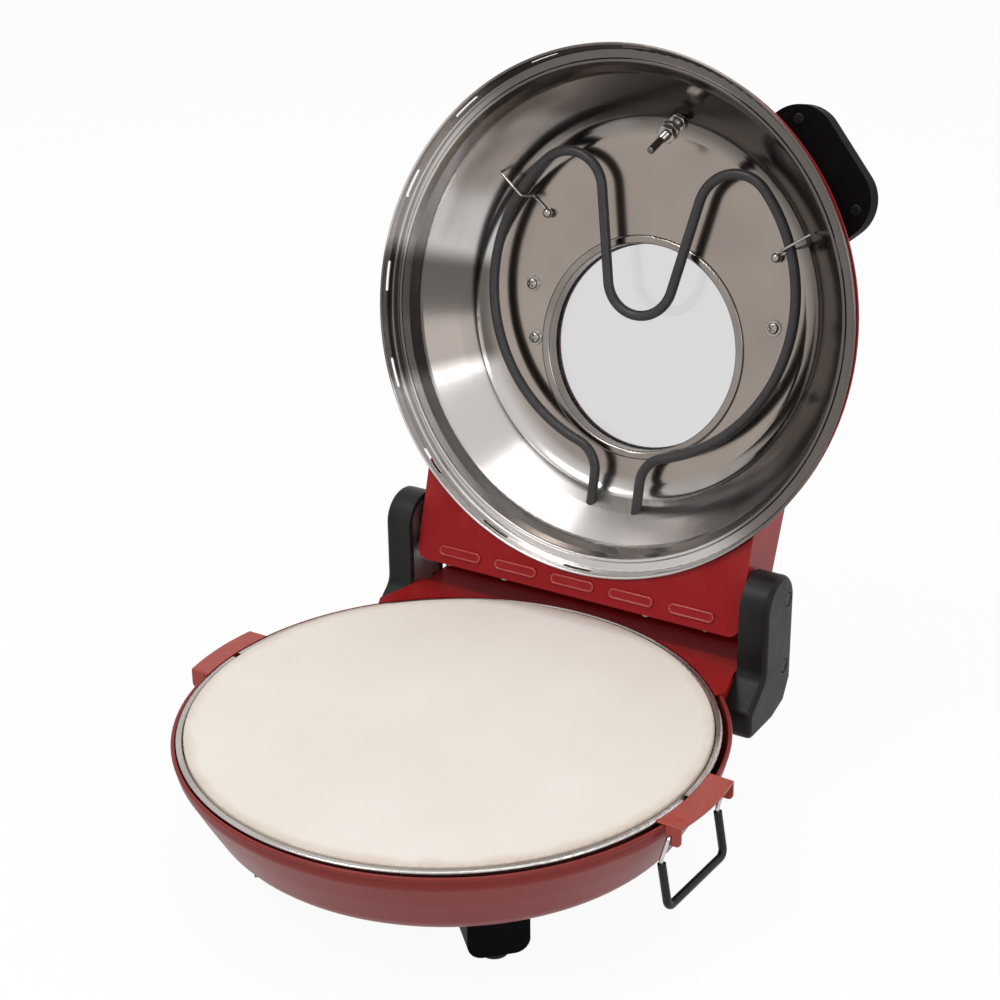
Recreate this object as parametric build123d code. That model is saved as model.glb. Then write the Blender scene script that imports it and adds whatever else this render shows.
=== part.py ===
from build123d import *
import math
import os

# Electric pizza maker: a round pan with a baking stone, and a domed lid on a rear hinge.
# Millimetres. The origin is on the table plane under the centre of the stone, +Z up,
# -Y towards the user and +X to the user's right. The lid is modelled shut and then
# turned open about its hinge, which is how it rests.

# ---------------------------------------------------------------- driving dimensions
STONE_RADIUS = 155.0
STONE_THICKNESS = 12.0
STONE_EDGE = 1.2            # rounding of the stone's rim
STONE_PROUD = 2.6           # stone face above the pan rim
STONE_SIDE_GAP = 0.6

SEAT = 0.2                  # play between a pressed sheet and what it sits on
SHEET = 1.2                 # painted steel sheet of housing, straps and hinge box
SCREW_RADIUS = 2.0
HEAD_RADIUS = 3.8
HEAD_HEIGHT = 2.2
HEAD_ROUNDING = 1.0
RIVET_RADIUS = 3.0
RIVET_TAIL_RADIUS = 2.5
FOLD_RADIUS = 1.0           # outside of a folded sheet edge
HOLE_PLAY = 0.2             # radial play of a screw in its clearance hole
PLASTIC_WALL = 2.6
BEND_SHARE = 0.48           # most of a run that one bend takes up

TRAY_WALL = 0.8
TRAY_FLANGE_WIDTH = 3.9
TRAY_FLANGE_DROP = 1.4      # flange below the stone face
TRAY_SKIRT = 2.4
TRAY_LEDGE_WIDTH = 8.6
TRAY_FLOOR_DEPTH = 26.0     # floor of the reflector below the ledge
TRAY_FLOOR_RADIUS = 126.0
TRAY_CONE_RADIUS = 138.0    # reflector wall, part-way up
TRAY_CONE_RISE = 9.0
NOTCH_WIDTH = 5.5
TRAY_BENDS = (6.0, 12.0, 1.4, 0.5, 1.3, 1.3)

PAN_SHIFT = (1.2, 0.8)      # pan's centre from the stone's: the tray lies against its left side
PAN_GAP = 2.1               # dark gap between tray skirt and pan wall
PAN_WALL = 1.0
PAN_HEIGHT = 52.4           # rim top above the pan's underside
RIM_BEAD = 1.3
PAN_BAND = 6.0              # upright band under the rim bead
PAN_SHOULDER_INSET = 8.0    # inside of the pan, inwards from its band
PAN_SHOULDER_RISE = 28.5
PAN_KNEE_INSET = 21.5
PAN_KNEE_RISE = 3.7
PAN_FLOOR_INSET = 40.0
PAN_BENDS = (10.0, 24.0, 40.0, 6.0)
WALL_SLANT = 1.25           # sheet thickness measured level through the sloping wall

FOOT_HEIGHT = 29.0
FOOT_WIDTH = 35.7
FOOT_DEPTH = 30.0
FOOT_CORNER = 9.0
FOOT_PLACE = 106.0          # radius of the foot block's centre
FRONT_FOOT_ANGLE = 45.0     # from the front
REAR_FOOT_ANGLE = 30.0      # from the back
PAD_RADIUS = 9.0
PAD_PROUD = 6.0
PAD_SUNK = 3.0
PAD_EDGE = 3.0
PAD_PLACE = 109.0

ELEMENT_RADIUS = 3.3        # sheath of both heating elements
LOWER_RING_RADIUS = 104.0
LOWER_ELEMENT_DROP = 12.0   # ring centre below the stone
LEG_SPREAD = 16.5           # each element leg from the middle plane
LEG_BEND = 20.0
CLIP_WIDTH = 8.0
CLIP_THICKNESS = 5.0
STANDOFF_RADIUS = 5.0
STANDOFF_PLACE = 70.0
SADDLE_BEARINGS = (-60.0, 60.0, 0.0)   # saddle posts under the ring element, degrees

STRAP_TURN = {1: 2.8, -1: 0.0}   # right and left strap ahead of the pan's middle, degrees
STRAP_HALF_LENGTH = 29.6    # side strap, along the rim
STRAP_OVERHANG = 7.4        # strap's ends beyond the rim bead
STRAP_BULGE = 2.8           # its outer edge is an arc, further out in the middle
STRAP_TAB_HALF = 14.0
STRAP_TAB_DROP = 9.5
EAR_DROP = 12.5
EAR_CORNER = 3.2
BAIL_WIRE = 1.25
BAIL_HOLE_PLAY = 0.3
BAIL_DROP = 43.5
BAIL_BARE = 14.5            # bare wire above each sleeve
BAIL_LEAN = 4.0             # bare wire leans in towards the pan
BAIL_FLARE = 1.0            # sleeved part stands out again, past the hinge line
BAIL_LEG_GAP = 0.4          # leg outside its ear
BAIL_KINK = 6.0
BAIL_BEND = 4.5
BAIL_TAIL = 4.5             # wire end inside the ear
BAIL_HOOK = 2.0             # bend from the leg into the ear
SLEEVE_RADIUS = 2.45
BAIL_HOLE_INSET = 6.8       # hole from the strap's outer edge
BAIL_HOLE_DROP = 8.0        # hole under the strap's top

LIP_GAP = 1.2               # shut lid above the straps
LIP_RADIUS = 165.3          # outside of the rolled lip
LIP_BEAD = 0.9
LINER_WALL = 0.8
BAND_RADIUS = 164.5         # inside of the slotted band at the lip
BAND_TAPER = 3.0
BAND_HEIGHT = 10.0
LEDGE_WIDTH = 5.3
BEAD_WIDTH = 2.6            # pressed bead inside the ledge
BEAD_DEPTH = 1.1
STEP_RADIUS = 152.0         # liner wall, four rings from the bead up to the plateau
STEP_HEIGHT = 15.5
WALL_RADIUS = 148.5
WALL_HEIGHT = 24.0
WAIST_RADIUS = 131.0
WAIST_HEIGHT = 44.0
SHOULDER_RADIUS = 121.0
SHOULDER_HEIGHT = 56.0
PLATEAU_RADIUS = 111.5
PLATEAU_TOP = 59.0
LINER_BENDS = (1.2, 1.2, 0.5, 0.5, 0.5, 3.0, 10.0, 30.0, 12.0, 6.0)
SHELL_WALL = 0.9
SHELL_INSET = 2.3           # dome's side inside the lip
SHELL_FLANGE = 4.2
SHELL_SIDE_TOP = 12.5
SHELL_HAUNCH_INSET = 11.0   # the dome steps in by these from its side to its crown
SHELL_HAUNCH_TOP = 40.0
SHELL_BROW_INSET = 12.0
SHELL_BROW_TOP = 62.0
SHELL_CROWN_INSET = 34.0
SHELL_HEIGHT = 73.5
SHELL_BENDS = (1.2, 6.0, 60.0, 40.0, 30.0)
VENT_COUNT = 16
VENT_LENGTH = 20.0
VENT_HEIGHT = 2.5
VENT_LEVEL = 5.5
VENT_CORNER = 1.1

WINDOW_SHIFT = 25.0         # window centre behind the lid's centre
WINDOW_RADIUS = 66.8
WINDOW_FLANGE = 5.7
WINDOW_BEAD = 1.7           # collar's rounded bead, standing towards the oven
GLASS_RADIUS = 72.0
GLASS_THICKNESS = 4.0
GASKET_THICKNESS = 1.4
GASKET_WIDTH = 6.0

UPPER_ELEMENT_LEVEL = 47.0
HEART_RADIUS = 107.0        # big arc of the upper element
HEART_CENTRE = 12.0         # its centre ahead of the lid's centre
LOBE_RADIUS = 25.0
LOBE_SPREAD = 59.0
DIP_RADIUS = 23.0
DIP_CENTRE = 20.0
LEG_END = 137.0             # element end behind the lid's centre
TERMINAL_LENGTH = 7.0
TERMINAL_RADIUS = 3.0
ELEMENT_WIRE = 0.9
CLIP_PLACES = {1: (86.5, 46.2), -1: (76.8, 51.5)}   # right and left clip screw: X, ahead
CLIP_BEARING = 36.0         # wires run outwards and forwards at this angle, degrees
CLIP_BEND = 1.6
BALL_RADIUS = 3.3
SPACER_RADIUS = 4.0
SPACERS = ((-84.0, 4.0), (-78.0, -31.0), (89.5, 2.5), (93.6, -33.0))  # X, and distance ahead
WASHER_RADIUS = 5.2
WASHER_THICKNESS = 0.8

PROBE_BEARING = 5.5         # thermostat off the front, towards +X, degrees
PROBE_TILT = 30.4           # probe leans towards the lid's centre, degrees
PROBE_PLACE = 122.5         # radius where it pierces the liner
PROBE_LEVEL = 54.0
PROBE_LENGTH = 40.0
PROBE_ROD = 2.4
GLAND_RADIUS = 3.0
GLAND_LENGTH = 26.5
NUT_ACROSS = 11.0
NUT_THICKNESS = 4.0
THERMOSTAT_RADIUS = 11.0
THERMOSTAT_PLAY = 0.5       # thermostat's corner from the shell
NUT_SEAT = 1.9              # inner nut off the curved liner
NUT_GAP = 0.6               # between the two nuts locked on each other
NUT_SETBACK = 6.4           # outer nut back from the gland's end
KNOB_RADIUS = 17.0
KNOB_GRIP_RADIUS = 13.0
KNOB_EDGE = 2.0
KNOB_HEIGHT = 13.0
KNOB_GAP = 0.6
KNOB_SHAFT = 3.0
KNOB_BORE_PLAY = 0.05
KNOB_FLUTES = 12
KNOB_FLUTE_RADIUS = 2.0

HANDLE_BEARING = 48.0       # handle off the front, towards +X, degrees
HANDLE_HALF_WIDTH = 43.9
HANDLE_LENGTH = 22.0        # beyond the dome, at the handle's underside
HANDLE_CORNER = 24.3
HANDLE_EDGE = 5.0
HANDLE_LOW = 34.0
HANDLE_THICKNESS = 16.0
HANDLE_GAP = 0.3
HANDLE_COVER = 2.0
HANDLE_SCREW_SPREAD = 32.7
HANDLE_SCREW_BACK = 15.6    # screws back from the handle's front edge
HANDLE_RIVET_SPREAD = 7.0   # degrees
HANDLE_RIVET_RISE = 7.2
HANDLE_RIVET_DEPTH = 3.7    # rivet head's seat inside the dome

HINGE_BOX_HALF = 117.0
HINGE_BOX_CORNER = 7.0
HINGE_BOX_BACK = 180.5      # rear edge of the shut hinge box
HINGE_BOX_REAR_LOW = 0.7
HINGE_BOX_FRONT_LOW = 4.5
HINGE_BOX_FRONT = 118.0
HINGE_BOX_BACK_HEIGHT = 16.0
HINGE_BOX_SLOPE = ((174.0, 32.0), (150.0, 41.5), (104.0, 49.0))
LOUVRE_COUNT = 5
LOUVRE_LENGTH = 30.5
LOUVRE_PITCH = 42.2
LOUVRE_HEIGHT = 6.0
LOUVRE_PROUD = 1.0
LOUVRE_PLACE = 171.6
LOUVRE_TAPER = 20.0
COVER_SCREWS = (-94.0, -52.0, 52.0, 94.0)

OPEN_ANGLE = 102.5
PIVOT_BACK = 168.4          # hinge axis behind the stone's centre
PIVOT_RISE = 24.0           # hinge axis above the shut lip
HINGE_PIN_RADIUS = 4.0
PIN_HEAD_RADIUS = 6.4
PIN_PLAY = 0.05
BUSH_WALL = 2.0
BUSH_FLANGE = 9.0
HINGE_PLATE = 2.5
HINGE_PLATE_START = 12.0    # behind the front of the hinge box
STOP_PIN_RADIUS = 2.5
STOP_PLACE = 16.0           # stop pin from the hinge axis
STOP_BEARING = 149.0        # stop pin from the rear horizontal, degrees
STOP_PLAY = 0.3
BODY_GAP = 0.3              # least gap between parts that move on each other

ARM_GAP = 2.5               # hinge box side to arm
ARM_THICKNESS = 19.0
ARM_TOP_RADIUS = 19.5
ARM_TOP_BACK = 158.0
ARM_TOP_RISE = 38.0         # centre of the arm's round top above the stone face
ARM_EDGE = 3.5
ARM_BOTTOM = -37.0          # arm's underside below the stone face
ARM_TOE = 119.0             # front of the arm's foot
ARM_TOE_TOP = -19.0
ARM_WAIST = -3.0            # where the arm's front edge starts to swing forward
ARM_HEEL = ((152.0, -37.0), (169.0, -32.0), (177.5, -18.0))
ARM_WAIST_BEND = 11.0
ARM_TOE_BEND = 6.0
ARM_PLATE = 2.5
ARM_PLATE_INSET = 4.5
PLUG_RADIUS = 4.6
PLUG_DEPTH = 2.0
ARM_SCREWS = ((166.5, -6.0), (168.5, 38.7))   # Y, and height above the stone face
BOLTS = ((150.0, -14.0), (150.0, -26.0))      # arm plate to housing

DECK_CORNER = (125.5, 111.0)   # deck's front corner; its front edge runs in to the tray from there
DECK_FRONT = (116.0, 92.6)
DECK_ARM_PLAY = 3.2         # deck's wings end ahead of the arms
DECK_STEP = 149.0           # deck's front part ends here and drops
TROUGH_DROP = 4.8
REAR_LIP = 4.8              # upstand along the trough's rear edge
HOUSING_BACK = 183.0
HOUSING_FRONT = 96.0
HOUSING_FLOOR = 54.0
HOUSING_SCREW_INSET = 29.5  # outer cover screws from the housing's sides
GLAND_X = 62.0
CORD_BORE = 3.6
CORD_FLANGE = 8.0
CORD_GLAND_BODY = 6.0
CORD_GLAND_LENGTH = 14.0
TERMINAL_BLOCK = (46.0, 16.0, 12.0)

# ---------------------------------------------------------------- derived places
PAN_BOTTOM = PAD_PROUD + FOOT_HEIGHT
RIM_TOP = PAN_BOTTOM + PAN_HEIGHT
STONE_TOP = RIM_TOP + STONE_PROUD
STONE_BOTTOM = STONE_TOP - STONE_THICKNESS
STRAP_TOP = RIM_TOP + SEAT + SHEET
LIP_LEVEL = STRAP_TOP + LIP_GAP
FLANGE_TOP = STONE_TOP - TRAY_FLANGE_DROP
TRAY_INNER = STONE_RADIUS + STONE_SIDE_GAP
TRAY_OUTER = TRAY_INNER + TRAY_FLANGE_WIDTH
PAN_INNER = TRAY_OUTER + PAN_GAP
PAN_OUTER = PAN_INNER + PAN_WALL
PAN_SHOULDER_RADIUS = PAN_INNER - PAN_SHOULDER_INSET
PAN_KNEE_RADIUS = PAN_INNER - PAN_KNEE_INSET
PAN_FLOOR_RADIUS = PAN_INNER - PAN_FLOOR_INSET
STRAP_END = PAN_OUTER + RIM_BEAD + STRAP_OVERHANG
SHELL_OUTER = LIP_RADIUS - SHELL_INSET
SHELL_HAUNCH_RADIUS = SHELL_OUTER - SHELL_HAUNCH_INSET
SHELL_BROW_RADIUS = SHELL_HAUNCH_RADIUS - SHELL_BROW_INSET
SHELL_CROWN_RADIUS = SHELL_BROW_RADIUS - SHELL_CROWN_INSET
REFLECTOR_FLOOR = STONE_BOTTOM - TRAY_FLOOR_DEPTH
PIVOT_Z = LIP_LEVEL + PIVOT_RISE
ARM_INNER = HINGE_BOX_HALF + ARM_GAP
ARM_OUTER = ARM_INNER + ARM_THICKNESS
SHELL_SEAT = BAND_HEIGHT + LINER_WALL + SEAT
TROUGH_TOP = STRAP_TOP - TROUGH_DROP
HINGE_AXIS = Axis((0, PIVOT_BACK, PIVOT_Z), (1, 0, 0))

nodes = {}


# ---------------------------------------------------------------- helpers
def lathe(points):
    """Solid of revolution about Z through (radius, height) points."""
    return revolve(Plane.XZ * make_face(Polyline(*points, close=True)), Axis.Z)


def ring(inner, outer, low, high):
    """Flat-ended ring about Z; an inner radius of 0 gives a disc."""
    body = Pos(0, 0, low) * Cylinder(outer, high - low, align=(Align.CENTER, Align.CENTER, Align.MIN))
    if inner > 0:
        body -= Pos(0, 0, low) * Cylinder(
            inner, high - low, align=(Align.CENTER, Align.CENTER, Align.MIN))
    return body


def bends(points, wanted):
    """Bend radii for a path's corners, each held to what the two runs beside it leave room for."""
    radii = []
    for before, corner, after, radius in zip(points, points[1:], points[2:], wanted):
        run_in, run_out = Vector(*corner) - Vector(*before), Vector(*after) - Vector(*corner)
        room = BEND_SHARE * min(run_in.length, run_out.length)
        radii.append(min(radius, room / math.tan(math.radians(run_in.get_angle(run_out) / 2))))
    return radii


def spun_sheet(points, radii, wall, side, bead=None):
    """Sheet of revolution: one face runs through the points, the wall lies on the given side.

    A bead (radius, height, size) is rolled into the sheet's edge.
    """
    spine = FilletPolyline(*points, radius=bends(points, radii))
    section = make_face(offset(spine, wall, side=side, closed=True).edges())
    if bead:
        section += Pos(bead[0], bead[1]) * Circle(bead[2])
    return revolve(Plane.XZ * section, Axis.Z)


def span(low, high):
    """Box from its lowest to its highest corner."""
    size = [b - a for a, b in zip(low, high)]
    return Pos(*low) * Box(*size, align=(Align.MIN, Align.MIN, Align.MIN))


def rod_x(radius, start, end, y, z):
    """Round bar along X."""
    bar = Cylinder(radius, end - start, align=(Align.CENTER, Align.CENTER, Align.MIN))
    return Pos(start, y, z) * Rot(0, 90, 0) * bar


def rod_y(radius, start, end, x, z):
    """Round bar along Y."""
    bar = Cylinder(radius, end - start, align=(Align.CENTER, Align.CENTER, Align.MIN))
    return Pos(x, start, z) * Rot(-90, 0, 0) * bar


def side_profile(points, start, end, corner=0.0):
    """Prism along X with the given (Y, Z) outline, its corners rounded if asked."""
    outline = make_face(Polyline(*points, close=True))
    if corner:
        outline = fillet(outline.vertices(), corner)
    return Pos(start, 0, 0) * extrude(Plane.YZ * outline, end - start)


def around(bearing, shape):
    """Turn a shape drawn at the front of the pan round to a bearing towards +X."""
    return Rot(0, 0, bearing) * shape


def pipe(path, radius):
    """Round bar along a path of tangent lines and arcs."""
    return sweep(Plane(origin=path @ 0, z_dir=path % 0) * Circle(radius), path=path)


def mirrored(shape):
    """The same shape on the other side of the middle plane."""
    return mirror(shape, about=Plane.YZ)


def on_side(shape, side):
    """Carry a piece drawn at the pan's right, about the pan's centre, to its own side."""
    if isinstance(shape, Compound) and len(shape.solids()) > 1:
        return group([on_side(solid, side) for solid in shape.solids()])
    piece = shape if side > 0 else mirrored(shape)
    return Pos(*PAN_SHIFT, 0) * Rot(0, 0, -STRAP_TURN[side]) * piece


def group(shapes):
    """Separate solids that share one node."""
    return Compound(children=[solid for shape in shapes for solid in shape.solids()])


def lid_part(shape):
    """Turn a shape of the shut lid about the hinge into the open rest pose."""
    if isinstance(shape, Compound) and len(shape.solids()) > 1:
        return group([solid.rotate(HINGE_AXIS, -OPEN_ANGLE) for solid in shape.solids()])
    return shape.rotate(HINGE_AXIS, -OPEN_ANGLE)


def screw(length, head_radius=HEAD_RADIUS, head_height=HEAD_HEIGHT, radius=SCREW_RADIUS):
    """Pan-head screw, head on +Z, seat at the origin and shank down -Z."""
    head = Cylinder(head_radius, head_height, align=(Align.CENTER, Align.CENTER, Align.MIN))
    head = fillet(head.edges().group_by(Axis.Z)[-1], min(HEAD_ROUNDING, head_height / 2))
    return head + Cylinder(radius, length, align=(Align.CENTER, Align.CENTER, Align.MAX))


def hex_nut(across, thickness, bore):
    """Hexagon nut standing on the XY plane."""
    return extrude(RegularPolygon(across / 2, 6, major_radius=False) - Circle(bore), thickness)


# ---------------------------------------------------------------- stone and tray
def make_stone():
    """Round baking stone with softened rims."""
    stone = ring(0, STONE_RADIUS, STONE_BOTTOM, STONE_TOP)
    return fillet(stone.edges().filter_by(GeomType.CIRCLE), STONE_EDGE)


def make_tray():
    """Stainless reflector pan whose flange rings the stone and whose ledge carries it."""
    points = ((0, REFLECTOR_FLOOR), (TRAY_FLOOR_RADIUS, REFLECTOR_FLOOR),
              (TRAY_CONE_RADIUS, REFLECTOR_FLOOR + TRAY_CONE_RISE),
              (TRAY_INNER - TRAY_LEDGE_WIDTH, STONE_BOTTOM), (TRAY_INNER, STONE_BOTTOM),
              (TRAY_INNER, FLANGE_TOP), (TRAY_OUTER, FLANGE_TOP),
              (TRAY_OUTER, FLANGE_TOP - TRAY_SKIRT))
    tray = spun_sheet(points, TRAY_BENDS, TRAY_WALL, Side.RIGHT)
    for side in (-1, 1):
        notch = span((TRAY_INNER - STONE_SIDE_GAP / 2, -NOTCH_WIDTH / 2, FLANGE_TOP - TRAY_SKIRT),
                     (TRAY_OUTER + SEAT, NOTCH_WIDTH / 2, FLANGE_TOP + SEAT))
        tray -= Rot(0, 0, -STRAP_TURN[side]) * (notch if side > 0 else mirrored(notch))
        tray -= rod_y(ELEMENT_RADIUS + HOLE_PLAY, TRAY_CONE_RADIUS - LEG_BEND, TRAY_INNER,
                      side * LEG_SPREAD, STONE_BOTTOM - LOWER_ELEMENT_DROP)
    for place in standoff_places():
        tray -= place * Cylinder(SCREW_RADIUS + HOLE_PLAY, 4 * TRAY_FLOOR_DEPTH)
    return tray


def standoff_places():
    """Where the tray's stand-offs stand on the pan floor."""
    return [Pos(STANDOFF_PLACE * math.sin(a), -STANDOFF_PLACE * math.cos(a), PAN_BOTTOM)
            for a in (math.radians(45 + 90 * k) for k in range(4))]


def make_pan():
    """Painted outer pan with a rolled rim, lowered at the back under the hinge box."""
    floor = PAN_BOTTOM + PAN_WALL
    rim = RIM_TOP - RIM_BEAD
    points = ((0, floor), (PAN_FLOOR_RADIUS, floor), (PAN_KNEE_RADIUS, floor + PAN_KNEE_RISE),
              (PAN_SHOULDER_RADIUS, floor + PAN_SHOULDER_RISE), (PAN_INNER, rim - PAN_BAND),
              (PAN_INNER, rim))
    bead = (PAN_OUTER, rim, RIM_BEAD)
    pan = spun_sheet(points, PAN_BENDS, PAN_WALL, Side.RIGHT, bead)
    reach = 2 * PAN_OUTER
    half = math.acos((DECK_STEP - SHEET - SEAT - PAN_SHIFT[1]) / (PAN_OUTER + RIM_BEAD))
    wedge = Polyline((0, 0), (reach * math.sin(half), reach * math.cos(half)),
                     (-reach * math.sin(half), reach * math.cos(half)), close=True)
    pan -= Pos(0, 0, TROUGH_TOP - SHEET - SEAT) * extrude(make_face(wedge), TROUGH_DROP + 2 * SHEET)
    pan = Pos(*PAN_SHIFT, 0) * pan
    for place in standoff_places() + [p for p, _ in foot_places()]:
        pan -= place * Cylinder(SCREW_RADIUS + HOLE_PLAY, 4 * PAN_WALL)
    for side in (-1, 1):
        pan -= rod_y(ELEMENT_RADIUS + HOLE_PLAY, PAN_SHOULDER_RADIUS - LEG_BEND, PAN_OUTER + LEG_BEND,
                     side * LEG_SPREAD, STONE_BOTTOM - LOWER_ELEMENT_DROP)
        for y in (-STRAP_TAB_HALF / 2, STRAP_TAB_HALF / 2):
            pan -= on_side(rivet_hole(y), side)
    return pan


def rivet_level():
    """Height of the strap rivets, just clear of the pan's rim bead."""
    return RIM_TOP - 2 * RIM_BEAD - SCREW_RADIUS - HOLE_PLAY - SEAT


def rivet_hole(y):
    """Clearance hole of one strap rivet, at the pan's right."""
    return rod_x(SCREW_RADIUS + HOLE_PLAY, PAN_INNER - PAN_GAP, STRAP_END, y, rivet_level())


# ---------------------------------------------------------------- feet
def foot_places():
    """Foot screws on the pan floor, with the bearing of each foot."""
    bearings = (-FRONT_FOOT_ANGLE, FRONT_FOOT_ANGLE, 180 - REAR_FOOT_ANGLE, REAR_FOOT_ANGLE - 180)
    return [(around(b, Pos(0, -FOOT_PLACE + FOOT_DEPTH / 3, PAN_BOTTOM)), b) for b in bearings]


def make_foot(bearing):
    """Moulded foot block with rounded lower corners and a socket for its pad."""
    half = FOOT_WIDTH / 2
    outline = make_face(Polyline((-half, 0), (half, 0), (half, FOOT_HEIGHT), (-half, FOOT_HEIGHT),
                                 close=True))
    low = outline.vertices().group_by(Axis.Y)[0]
    outline = fillet(low, FOOT_CORNER)
    block = extrude(Plane(origin=(0, -FOOT_PLACE + FOOT_DEPTH / 2, PAD_PROUD), x_dir=(1, 0, 0),
                          z_dir=(0, -1, 0)) * outline, FOOT_DEPTH)
    socket = Pos(0, -PAD_PLACE, PAD_PROUD) * Cylinder(
        PAD_RADIUS + SEAT, 2 * PAD_SUNK, align=(Align.CENTER, Align.CENTER, Align.CENTER))
    hole = Pos(0, -FOOT_PLACE + FOOT_DEPTH / 3, PAN_BOTTOM) * Cylinder(
        SCREW_RADIUS + HOLE_PLAY, FOOT_HEIGHT, align=(Align.CENTER, Align.CENTER, Align.CENTER))
    return around(bearing, block - socket - hole)


def make_foot_pad(bearing):
    """Round rubber pad, domed at its edge, pushed into the foot."""
    pad = Cylinder(PAD_RADIUS, PAD_PROUD + PAD_SUNK, align=(Align.CENTER, Align.CENTER, Align.MIN))
    pad = fillet(pad.edges().group_by(Axis.Z)[0], PAD_EDGE)
    return around(bearing, Pos(0, -PAD_PLACE, 0) * pad)


def make_foot_screws():
    """One screw through the pan floor into each foot."""
    floor = Pos(0, 0, PAN_WALL)
    return group([floor * place * screw(FOOT_HEIGHT / 2 - 2 * HOLE_PLAY) for place, _ in foot_places()])


# ---------------------------------------------------------------- inside the pan
def make_standoffs():
    """Four tubes that hold the tray above the pan floor."""
    height = REFLECTOR_FLOOR - TRAY_WALL - PAN_BOTTOM - PAN_WALL
    tube = Cylinder(STANDOFF_RADIUS, height, align=(Align.CENTER, Align.CENTER, Align.MIN))
    tube -= Cylinder(SCREW_RADIUS + HOLE_PLAY, 2 * height)
    return group([Pos(0, 0, PAN_WALL) * place * tube for place in standoff_places()])


def make_standoff_screws():
    """Screws down through tray, stand-off and pan, each with its nut under the pan."""
    length = REFLECTOR_FLOOR - PAN_BOTTOM + 1.5 * HEAD_HEIGHT
    nut = Pos(0, 0, -HEAD_HEIGHT) * hex_nut(2 * HEAD_RADIUS, HEAD_HEIGHT, SCREW_RADIUS)
    lift = Pos(0, 0, REFLECTOR_FLOOR - PAN_BOTTOM)
    return group([place * (lift * screw(length) + nut) for place in standoff_places()])


def make_lower_element():
    """Ring element under the stone with two legs running back through tray and pan."""
    z = STONE_BOTTOM - LOWER_ELEMENT_DROP
    radius, bend, x = LOWER_RING_RADIUS, LEG_BEND / 2, LEG_SPREAD
    reach = radius + bend
    y_bend = math.sqrt(reach ** 2 - (x + bend) ** 2)
    lean = math.degrees(math.atan2(y_bend, x + bend))
    ring_arc = CenterArc((0, 0, z), radius, lean, -(180 + 2 * lean))
    join_right = CenterArc((x + bend, y_bend, z), bend, 180, lean)
    join_left = CenterArc((-x - bend, y_bend, z), bend, -lean, lean)
    back = HOUSING_BACK - LEG_BEND
    leg_right = Line((x, back, z), (x, y_bend, z))
    leg_left = Line((-x, y_bend, z), (-x, back, z))
    return pipe(Wire([leg_right, join_right, ring_arc, join_left, leg_left]), ELEMENT_RADIUS)


def make_lower_clips():
    """Three saddle posts that carry the ring element above the reflector."""
    z = STONE_BOTTOM - LOWER_ELEMENT_DROP
    post = span((-CLIP_WIDTH / 2, -LOWER_RING_RADIUS - CLIP_THICKNESS / 2, REFLECTOR_FLOOR),
                (CLIP_WIDTH / 2, -LOWER_RING_RADIUS + CLIP_THICKNESS / 2, z))
    seat = Pos(0, 0, z) * Torus(LOWER_RING_RADIUS, ELEMENT_RADIUS + SEAT / 2)
    post -= seat
    return group([around(bearing, post) for bearing in SADDLE_BEARINGS])


# ---------------------------------------------------------------- side straps and bails
def make_strap():
    """Strap at the pan's right: plate over the rim with a bowed edge, two ears, a riveted tab."""
    low = STRAP_TOP - SHEET
    y, x = STRAP_HALF_LENGTH, STRAP_END
    inner = PAN_OUTER + RIM_BEAD + SEAT
    bow = ThreePointArc((x, -y), (x + STRAP_BULGE, 0), (x, y))
    back = Polyline((x, y), (TRAY_INNER / 2, y), (TRAY_INNER / 2, -y), (x, -y))
    plate = Pos(0, 0, low) * extrude(make_face([*bow.edges(), *back.edges()]), SHEET)
    ear_start = math.sqrt((inner + SEAT) ** 2 - (y - SHEET) ** 2)
    outline = make_face(Polyline((ear_start, STRAP_TOP), (x, STRAP_TOP), (x, STRAP_TOP - EAR_DROP),
                                 (ear_start, STRAP_TOP - EAR_DROP), close=True))
    outline = fillet(outline.vertices().group_by(Axis.Y)[0], EAR_CORNER)
    ear = extrude(Plane.XZ * outline, SHEET)
    plate += Pos(0, -y + SHEET, 0) * ear + Pos(0, y, 0) * ear
    folds = [e for e in plate.edges().filter_by(Axis.X)
             if abs(e.center().Z - STRAP_TOP) < SEAT and abs(abs(e.center().Y) - y) < SEAT]
    plate = fillet(folds, FOLD_RADIUS)
    tab = ring(inner, inner + SHEET, STRAP_TOP - STRAP_TAB_DROP, low)
    tab &= span((0, -STRAP_TAB_HALF, 0), (x, STRAP_TAB_HALF, STRAP_TOP))
    strap = plate + tab
    for end in (-1, 1):
        strap -= rod_y(BAIL_WIRE + BAIL_HOLE_PLAY, end * y - 2 * SHEET, end * y + 2 * SHEET,
                       bail_reach(), bail_level())
    for y_rivet in (-STRAP_TAB_HALF / 2, STRAP_TAB_HALF / 2):
        strap -= rivet_hole(y_rivet)
    return strap


def placed_strap(side):
    """A strap on its side, trimmed round the tray."""
    return on_side(make_strap(), side) - ring(0, TRAY_OUTER + BODY_GAP, 0, 2 * STRAP_TOP)


def make_strap_rivets():
    """Two shouldered rivets through the right-hand strap's tab and the pan."""
    inner = PAN_OUTER + RIM_BEAD + SEAT
    rivets = []
    for y in (-STRAP_TAB_HALF / 2, STRAP_TAB_HALF / 2):
        face = math.sqrt((inner + SHEET) ** 2 - y ** 2)
        wall = math.sqrt(PAN_INNER ** 2 - y ** 2)
        shank = rod_x(SCREW_RADIUS, wall - SHEET, face + SEAT, y, rivet_level())
        head = rod_x(RIVET_RADIUS, face + SEAT, face + SHEET, y, rivet_level())
        tail = rod_x(RIVET_TAIL_RADIUS, wall - SHEET, wall - SEAT, y, rivet_level())
        rivets.append(shank + head + tail)
    return group(rivets)


def bail_level():
    """Height of the bail's hinge line."""
    return STRAP_TOP - BAIL_HOLE_DROP


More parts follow.
